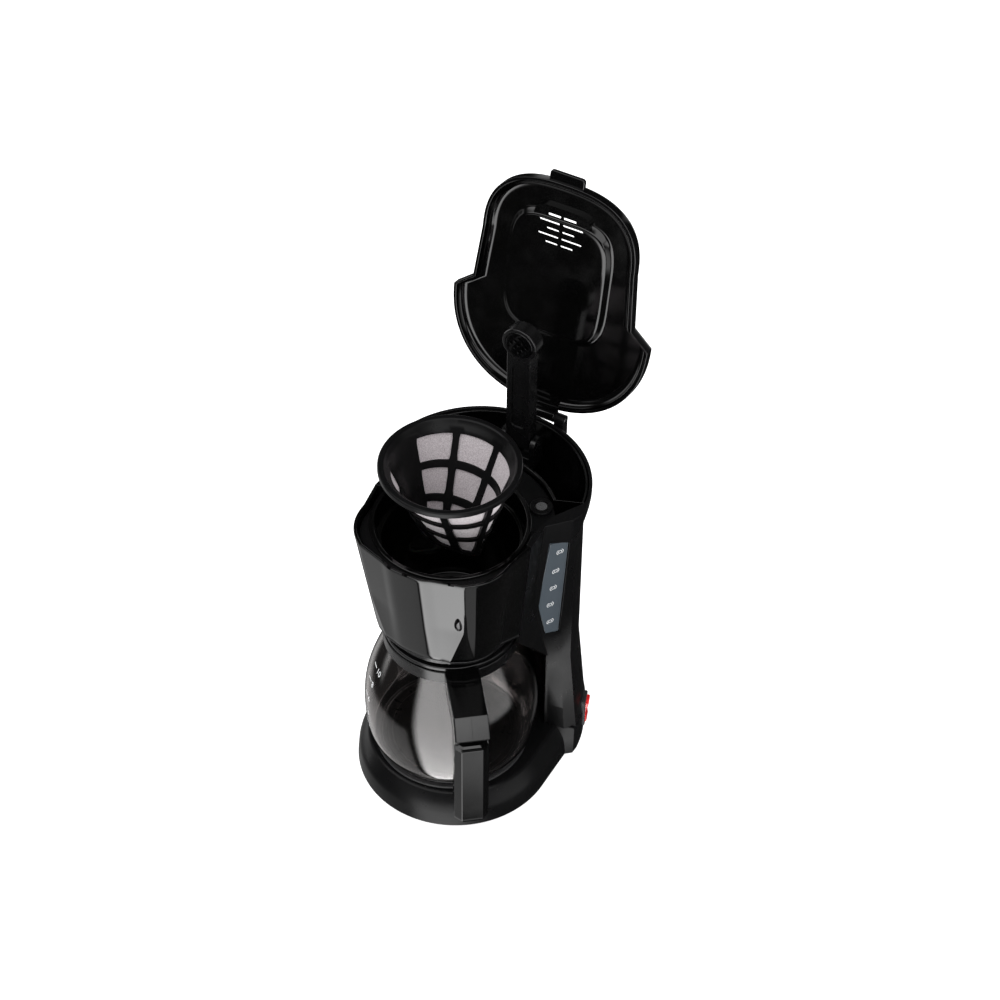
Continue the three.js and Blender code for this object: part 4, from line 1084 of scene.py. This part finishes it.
def make_arm():
    half = ARM_WIDTH / 2
    neck = math.degrees(math.acos(half / SPRAY_RADIUS))
    outline = [(-half, -4), (-half + 1, -5), (half - 1, -5), (half, -4),
               *arc(0, ARM_LENGTH, SPRAY_RADIUS, -neck, 180 + neck, 64)]
    arm = prism("spray_arm_body", outline, -ARM_DEPTH / 2, ARM_DEPTH / 2, 0.9)
    seat_radius = SPRAY_RADIUS - 2.5
    profile = [(0, -2), (seat_radius, -2), (seat_radius, 5.2), (seat_radius + 0.4, 6.5), (0, 6.5)]
    seat = lathe("seat", profile, 0, ARM_LENGTH, 64)
    groove = rounded(-4.6, 4.6, 14, 68, 2)
    tools = [seat, skin("groove", [at(groove, 4.6), at(grown(groove, 0.5), 6)])]
    tools.append(rod("pin_hole", HINGE_PIN + GAP, (-20, 0, 0), (20, 0, 0)))
    carve(arm, *tools)
    piece(moved(arm, ARM_PLACE), "arm", SATIN, "satin_black", "spray_arm")

    radius = seat_radius - GAP
    disc = filleted([(0, 3.5, 0), (radius, 3.5, 0.2), (radius, 5.5, 0.5), (0, 5.5, 0)])
    plate = lathe("spray_head_plate", disc, 0, ARM_LENGTH, 64)
    hole = [(0, 2), (1, 2), (1, 5), (1.35, 5.6), (1.35, 7), (0, 7)]
    holes = [((i + k) * 2.9, (i - k) * 2.9) for i in (-1, 0, 1) for k in (-1, 0, 1)]
    carve(plate, *[lathe("hole", hole, x, ARM_LENGTH + z, 24) for x, z in holes])
    piece(moved(plate, ARM_PLACE), "arm", GLOSS, "satin_black", "spray_plate")


# ---- Cone filter ----

SECTORS = 8
TIERS = 3
CLOSED_SECTOR = 4
RIB = 4.6
WINDOW_CORNER = 0.56
MESH_MOUTH = FILTER_RIM - FILTER_RIM_WIDTH
FILTER_BOTTOM = FILTER_TOP - FILTER_DEPTH


def filter_sizes(z):
    t = (z - FILTER_BOTTOM) / FILTER_DEPTH
    return mix(20, MESH_MOUTH, t), mix(3, MESH_MOUTH, t)


def filter_cone(name, levels, steps=128):
    rings = []
    for z, grow in levels:
        a, b = filter_sizes(z)
        rings.append(at(bow(0, 0, a + grow, b + grow, 2, 0, 360 - 360 / steps, steps - 1), z))
    return skin(name, rings)


def window_tool(sector, tier, height):
    low = FILTER_BOTTOM + 4 + tier * height + RIB / 2
    high = low + height - RIB
    rings = []
    for i in range(7):
        z = mix(low, high, i / 6)
        a, b = filter_sizes(z)
        corner = WINDOW_CORNER if i in (0, 6) else 0
        margin = math.degrees((RIB / 2 + corner) / ((a + b) / 2))
        start = (sector - 0.5) * 360 / SECTORS + margin
        end = (sector + 0.5) * 360 / SECTORS - margin
        outer = bow(0, 0, a + 9, b + 9, 2, start, end, 10)
        inner = bow(0, 0, a - 3, max(b - 3, 0.6), 2, end, start, 10)
        rings.append(at(outer + inner, z))
    return skin("window", rings)


def make_filter():
    place = Matrix.Translation((0, BREW_Y, FILTER_LIFT))
    cone = filter_cone("filter_cage", [
        (FILTER_BOTTOM, 1.2), (FILTER_BOTTOM + 0.6, 2), (FILTER_BOTTOM + 1.5, 2.4), (190, 2.4),
        (FILTER_TOP - 1, 2.4)])
    rim_foot = FILTER_TOP - FILTER_RIM_HEIGHT
    rim = lathe("rim", filleted([(MESH_MOUTH - 0.5, rim_foot - 0.3, 0), (FILTER_RIM, rim_foot, 0.8),
                                 (FILTER_RIM, FILTER_TOP, 1.3), (MESH_MOUTH - 0.5, FILTER_TOP, 0)], 6))
    fuse(cone, rim)
    carve(cone, filter_cone("hollow", [
        (FILTER_BOTTOM + 1.7, -1.5), (rim_foot - 1, -1.5), (rim_foot + 0.5, -0.2), (FILTER_TOP - 1, 0),
        (FILTER_TOP - 0.3, 0.5), (FILTER_TOP + 1, 2)]))
    height = (rim_foot - 1.5 - FILTER_BOTTOM - 4) / TIERS
    sectors = [s for s in range(SECTORS) if s != CLOSED_SECTOR]
    carve(cone, *[window_tool(s, t, height) for s in sectors for t in range(TIERS)])
    soften(cone, 0.35, 2, 40)
    piece(moved(cone, place), "filter", BODY, "satin_black", "filter_frame")

    mesh = filter_cone("filter_cloth", [(FILTER_BOTTOM + 2, 0.3), (190, 0.4), (rim_foot - 0.7, 0.4)])
    carve(mesh, filter_cone("hollow", [(FILTER_BOTTOM + 2.6, -0.3), (190, -0.3), (FILTER_TOP, -0.3)]))
    piece(moved(mesh, place), "filter", CLOTH, "filter_mesh", "filter_mesh")


# ---- Jug ----

JUG_PLACE = Matrix.Translation((0, BREW_Y, 0)) @ turned(HANDLE_TURN, "Z")
JUG_BASE = PLATE_TOP + GAP
JUG_PROFILE = [(50, 0), (58.6, 8), (JUG_RADIUS - 0.6, 24), (JUG_RADIUS - 0.4, 48), (JUG_RADIUS - 4.8, 70),
               (JUG_NECK, 102), (JUG_NECK, JUG_RIM - JUG_BASE)]


def smooth_profile(points, steps=8):
    """Catmull-Rom curve through (radius, height) points."""
    padded = [points[0], *points, points[-1]]
    line = []
    for a, b, c, d in zip(padded, padded[1:], padded[2:], padded[3:]):
        for i in range(steps):
            t = i / steps
            line.append(tuple(
                0.5 * (2 * q + (r - p) * t + (2 * p - 5 * q + 4 * r - s) * t * t
                       + (3 * q - p - 3 * r + s) * t ** 3)
                for p, q, r, s in zip(a, b, c, d)))
    return line + [points[-1]]


def jug_line():
    curve = smooth_profile(JUG_PROFILE[:-1])
    return [(r, z + JUG_BASE) for r, z in curve] + [(JUG_NECK, 143), (JUG_NECK - 0.1, JUG_RIM - 0.6)]


def make_jug():
    outer = jug_line()
    inner = [(r - JUG_WALL, max(z, JUG_BASE + JUG_WALL)) for r, z in outer[:-1]]
    lip = [(JUG_NECK - 0.5, JUG_RIM - 0.1), (JUG_NECK - 1, JUG_RIM), (JUG_NECK - 1.5, JUG_RIM - 0.1),
           (JUG_NECK - 1.9, JUG_RIM - 0.6)]
    profile = [(0, JUG_BASE), (46, JUG_BASE), *outer, *lip, *inner[::-1][:-3], (48, JUG_BASE + 3),
               (44, JUG_BASE + JUG_WALL), (0, JUG_BASE + JUG_WALL)]
    glass = lathe("jug_bowl", profile, steps=160)
    piece(moved(glass, JUG_PLACE), "jug", GLASS, "jug_glass", "jug_glass", sharp=60, weighted=False)

    inner_r, outer_r = JUG_NECK + GAP, JUG_NECK + 2.6
    collar = lathe("jug_band", filleted([(inner_r, 134.8, 0.2), (outer_r, 134.8, 0.7), (outer_r, 145, 0.7),
                                         (inner_r, 145, 0.2)]))
    piece(moved(collar, JUG_PLACE), "jug", SATIN, "satin_black", "jug_collar")

    lid_r = JUG_NECK + 2
    lid = lathe("jug_cap", filleted([
        (0, 146.3, 0), (41.2, 146.3, 0), (41.2, 141, 0.3), (43.2, 141, 0.5), (43.2, 146.3, 0),
        (lid_r, 146.3, 0.4), (lid_r, JUG_LID_TOP, 1), (lid_r - 3.5, JUG_LID_TOP, 0.6),
        (lid_r - 4.5, 148.3, 0.6), (12, 148.0, 2), (9, 147.2, 2), (0, 147.2, 0)], 5))
    slots = []
    for k in range(6):
        turn = turned(60 * k, "Z")
        slot = rounded(-6, 6, 22, 25, 1.2)
        slots.append(moved(skin("slot", [at(slot, 147.6), at(slot, 150)]), turn))
    carve(lid, *slots)
    piece(moved(lid, JUG_PLACE), "jug_lid", SATIN, "satin_black", "jug_lid")
    make_handle()
    make_scale()


def side_solid(name, corners, half_width, edge, corner_steps=6):
    """A handle part: a rounded (reach, height) outline, as wide as its two halves."""
    outline = [(-reach, z) for reach, z in filleted(corners, corner_steps)]
    if signed_area(outline) < 0:
        outline = outline[::-1]
    plate = prism(name, outline, -half_width, half_width, edge)
    return moved(plate, Matrix(((0, 0, 1, 0), (1, 0, 0, 0), (0, 1, 0, 0), (0, 0, 0, 1))))


def grip_section(z, front, back, half_width):
    """Level section of the grip, with its two front corners cut off."""
    corner, side = half_width - 4.5, front - 4.5
    return at(filleted([
        (-half_width, -back, 2), (-half_width, -side, 0.8), (-corner, -front, 0.8),
        (corner, -front, 0.8), (half_width, -side, 0.8), (half_width, -back, 2)], 4), z)


def make_handle():
    near = JUG_NECK + 2.6 + GAP
    nose = HANDLE_REACH
    bracket = side_solid("handle_body", [
        (near, 135, 0.4), (61, 135, 3), (82, 133, 3), (88, 121.5, 2), (nose - 9, 121.5, 0.8),
        (nose, 133.8, 0.8), (nose - 9, JUG_LID_TOP, 1.2), (near, JUG_LID_TOP, 0.6)],
        12, 1.0)
    insets = [(43, 4.5, 4.5, 3.5), (43.6, 3, 3.4, 2.3), (45, 1.4, 2, 1), (47.5, 0.2, 1, 0), (50, 0, 1, 0),
              (121, 0, 0, 0), (121.6, 0.5, 0.3, 0.2), (122, 2.4, 2, 0.8), (123.5, 3.5, 3, 1.6)]
    grip = skin("grip", [grip_section(z, GRIP_REACH - front, GRIP_BACK + back, 12 - side)
                         for z, front, back, side in insets])
    fuse(bracket, grip)
    seam = side_solid("seam", [
        (nose + 1, 133.9, 0), (nose - 8.4, 150.2, 0), (near + 3, 150.2, 0), (near + 3, 148.9, 0),
        (nose - 9.4, 148.9, 0), (nose - 0.5, 133.5, 0)], 0.22, 0.01)
    carve(bracket, seam)
    piece(moved(bracket, JUG_PLACE), "jug", GLOSS, "gloss_black", "jug_handle")


def radius_at(z):
    line = jug_line()
    for (r0, z0), (r1, z1) in zip(line, line[1:]):
        if z0 <= z <= z1 and z1 > z0:
            return mix(r0, r1, (z - z0) / (z1 - z0))
    return JUG_NECK


def make_scale():
    """Cup marks printed on the jug: five numbered lines."""
    centre = math.radians(225 - HANDLE_TURN)

    def place(x, y, z):
        radius = radius_at(y) + 0.05 + z
        angle = centre + x / radius_at(y)
        return radius * math.cos(angle), radius * math.sin(angle), y

    strips, numerals = [], []
    for count, z in zip((2, 4, 6, 8, 10), (58, 72, 86, 100, 113)):
        strips.append([[(x, z + side) for x in (-6, -3, 0)] for side in (0.35, -0.35)])
        text = bpy.data.curves.new("numeral", "FONT")
        text.body = str(count)
        text.size = 6.5
        holder = bpy.data.objects.new("numeral", text)
        bpy.context.scene.collection.objects.link(holder)
        graph = bpy.context.evaluated_depsgraph_get()
        flat = bpy.data.meshes.new_from_object(holder.evaluated_get(graph))
        vertices = [place(v.co.x + 1.5, v.co.y + z - 2.2, 0.05) for v in flat.vertices]
        numerals.append(mesh_object("numeral", vertices, [tuple(p.vertices) for p in flat.polygons]))
        bpy.data.objects.remove(holder)
    scale = strip_mesh("jug_scale", strips, 0.05, place)
    for numeral in numerals:
        join_meshes(scale, numeral)
    piece(moved(scale, JUG_PLACE), "jug", INK, "jug_glass", weighted=False)


def join_meshes(obj, other):
    joined = bmesh.new()
    joined.from_mesh(obj.data)
    joined.from_mesh(other.data)
    joined.to_mesh(obj.data)
    joined.free()
    bpy.data.objects.remove(other)


# ---- CAD nodes that stay as they are ----

def dress_cad_nodes():
    finishes = {
        "heating_element": ALUMINIUM, "heater_bracket": STEEL, "thermostat": CERAMIC, "thermal_fuse": STEEL,
        "check_valve": MATT, "cold_hose": SILICONE, "hot_hose": SILICONE, "riser_tube": MATT,
        "drip_seal": SILICONE, "drip_spring": STEEL, "drip_valve": MATT, "arm_pin": STEEL,
    }
    finishes.update({f"bottom_screw_{i}": STEEL for i in range(1, 5)})
    finishes.update({f"deck_screw_{i}": STEEL for i in range(1, 3)})
    for name, material in finishes.items():
        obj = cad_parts[name]
        obj.data.materials.clear()
        obj.data.materials.append(material)


make_body()
make_gauge()
make_gland()
make_underside()
make_plate()
make_switch()
make_tank()
make_deck()
make_basket()
make_pivot_block()
make_head()
make_lid()
make_arm()
make_filter()
make_jug()
dress_cad_nodes()


# ---- Floor, light and camera ----

def make_floor():
    half = 4000
    floor = prism("studio_floor", [(-half, -half), (half, -half), (half, half), (-half, half)], -20, 0, 0.5)
    floor.data.materials.append(floor_paint())
    floor.visible_glossy = False
    floor.visible_transmission = False


class Studio:
    """World light: white behind the object, and soft boxes that its gloss reflects."""

    def __init__(self):
        world = bpy.data.worlds.new("studio")
        world.use_nodes = True
        bpy.context.scene.world = world
        self.nodes = world.node_tree.nodes
        self.links = world.node_tree.links
        self.direction = self.nodes.new("ShaderNodeTexCoord").outputs["Generated"]
        self.total = None

    def math(self, operation, first, second=None):
        node = self.nodes.new("ShaderNodeMath")
        node.operation = operation
        for socket, value in zip(node.inputs, (first, second)):
            if value is None:
                continue
            if isinstance(value, (int, float)):
                socket.default_value = value
            else:
                self.links.new(value, socket)
        return node.outputs[0]

    def along(self, vector):
        node = self.nodes.new("ShaderNodeVectorMath")
        node.operation = "DOT_PRODUCT"
        self.links.new(self.direction, node.inputs[0])
        node.inputs[1].default_value = vector
        return node.outputs["Value"]

    def rising(self, value, start, end):
        """0 up to start, 1 from end on, eased between them; start may be the larger."""
        node = self.nodes.new("ShaderNodeMapRange")
        node.interpolation_type = "SMOOTHSTEP"
        node.inputs["From Min"].default_value = start
        node.inputs["From Max"].default_value = end
        self.links.new(value, node.inputs["Value"])
        return node.outputs["Result"]

    def add(self, value):
        self.total = value if self.total is None else self.math("ADD", self.total, value)

    def panel(self, azimuth, elevation, strength, soft_azimuth, soft_elevation):
        """A soft panel between two azimuths and two elevations in degrees; azimuth 0 is the front,
        90 the right. Its edges fade over the soft angles outside it."""
        middle = math.radians(sum(azimuth) / 2)
        half = math.radians(azimuth[1] - azimuth[0]) / 2
        left, right = (math.radians(angle) for angle in soft_azimuth)
        down, up = (math.radians(angle) for angle in soft_elevation)
        low, high = (math.radians(angle) for angle in elevation)
        side = self.along((math.cos(middle), math.sin(middle), 0))
        ahead = self.along((math.sin(middle), -math.cos(middle), 0))
        turn = self.math("ARCTAN2", side, ahead)
        height = self.math("ARCSINE", self.along((0, 0, 1)))
        left_edge = self.rising(turn, -half - left, -half)
        right_edge = self.rising(turn, half + right, half)
        mask = self.math("MULTIPLY", left_edge, right_edge)
        low_edge = self.rising(height, low - down, low)
        high_edge = self.rising(height, high + up, high)
        level = self.math("MULTIPLY", low_edge, high_edge)
        self.add(self.math("MULTIPLY", self.math("MULTIPLY", mask, level), strength))

    def finish(self, ambient, diffuse):
        """Adds an even dim light, and lights matt surfaces by a plain white room."""
        background = self.nodes["Background"]
        path = self.nodes.new("ShaderNodeLightPath")
        light = self.math("ADD", self.total, ambient)
        light = self.math("MAXIMUM", light, path.outputs["Is Camera Ray"])
        room = self.math("MULTIPLY", path.outputs["Is Diffuse Ray"], diffuse)
        glossy = self.math("MULTIPLY", light, self.math("SUBTRACT", 1, path.outputs["Is Diffuse Ray"]))
        self.links.new(self.math("ADD", glossy, room), background.inputs["Strength"])
        background.inputs["Color"].default_value = (1, 1, 1, 1)


def make_studio():
    studio = Studio()
    studio.panel((-8, 40), (-84, -6), 4.2, (13, 1.5), (5, 8))
    studio.panel((-120, -30), (-75, -36), 0.45, (20, 8), (6, 6))
    studio.panel((50, 66), (-75, -50), 0.5, (3, 4), (5, 5))
    studio.panel((42, 56), (-50, -36), 1.1, (1, 4), (2, 4))
    studio.panel((-32, -4), (2, 9), 0.8, (8, 8), (3, 4))
    studio.panel((38, 54), (11, 22), 2.7, (5, 5), (3, 8))
    studio.panel((-70, 75), (32, 62), 2.2, (12, 12), (6, 8))
    studio.panel((66, 104), (-20, 6), 1.4, (10, 10), (5, 12))
    studio.panel((160, 205), (-20, 8), 1.6, (10, 10), (5, 12))
    studio.panel((-125, -80), (-20, 8), 1.4, (10, 10), (5, 12))
    studio.finish(0.02, 1.0)


def area_light(name, place, target, size, power):
    data = bpy.data.lights.new(name, "AREA")
    data.shape = "DISK"
    data.size = size
    data.energy = power
    light = bpy.data.objects.new(name, data)
    light.location = place
    light.visible_glossy = False
    light.rotation_euler = (Vector(target) - Vector(place)).to_track_quat("-Z", "Y").to_euler()
    bpy.context.scene.collection.objects.link(light)


CAMERA_PLACE = (0.604905, -1.068656, 1.422365)
CAMERA_AZIMUTH = 28.863
CAMERA_PITCH = 44.136
CAMERA_ROLL = 0.679
CAMERA_LENS = 89.65


def make_camera():
    data = bpy.data.cameras.new("camera")
    data.lens = CAMERA_LENS
    data.sensor_width = 36
    camera = bpy.data.objects.new("camera", data)
    turn = (turned(CAMERA_AZIMUTH, "Z")
            @ turned(90 - CAMERA_PITCH, "X")
            @ turned(CAMERA_ROLL, "Z"))
    camera.matrix_world = Matrix.Translation(CAMERA_PLACE) @ turn
    bpy.context.scene.collection.objects.link(camera)
    bpy.context.scene.camera = camera


make_floor()
make_studio()
area_light("key", (-0.9, -0.8, 1.6), (0, 0, 0.2), 0.9, 5)
area_light("fill", (1.4, 0.6, 1.5), (0, 0, 0.2), 1.0, 3)
make_camera()
bpy.context.scene.view_settings.view_transform = "Standard"
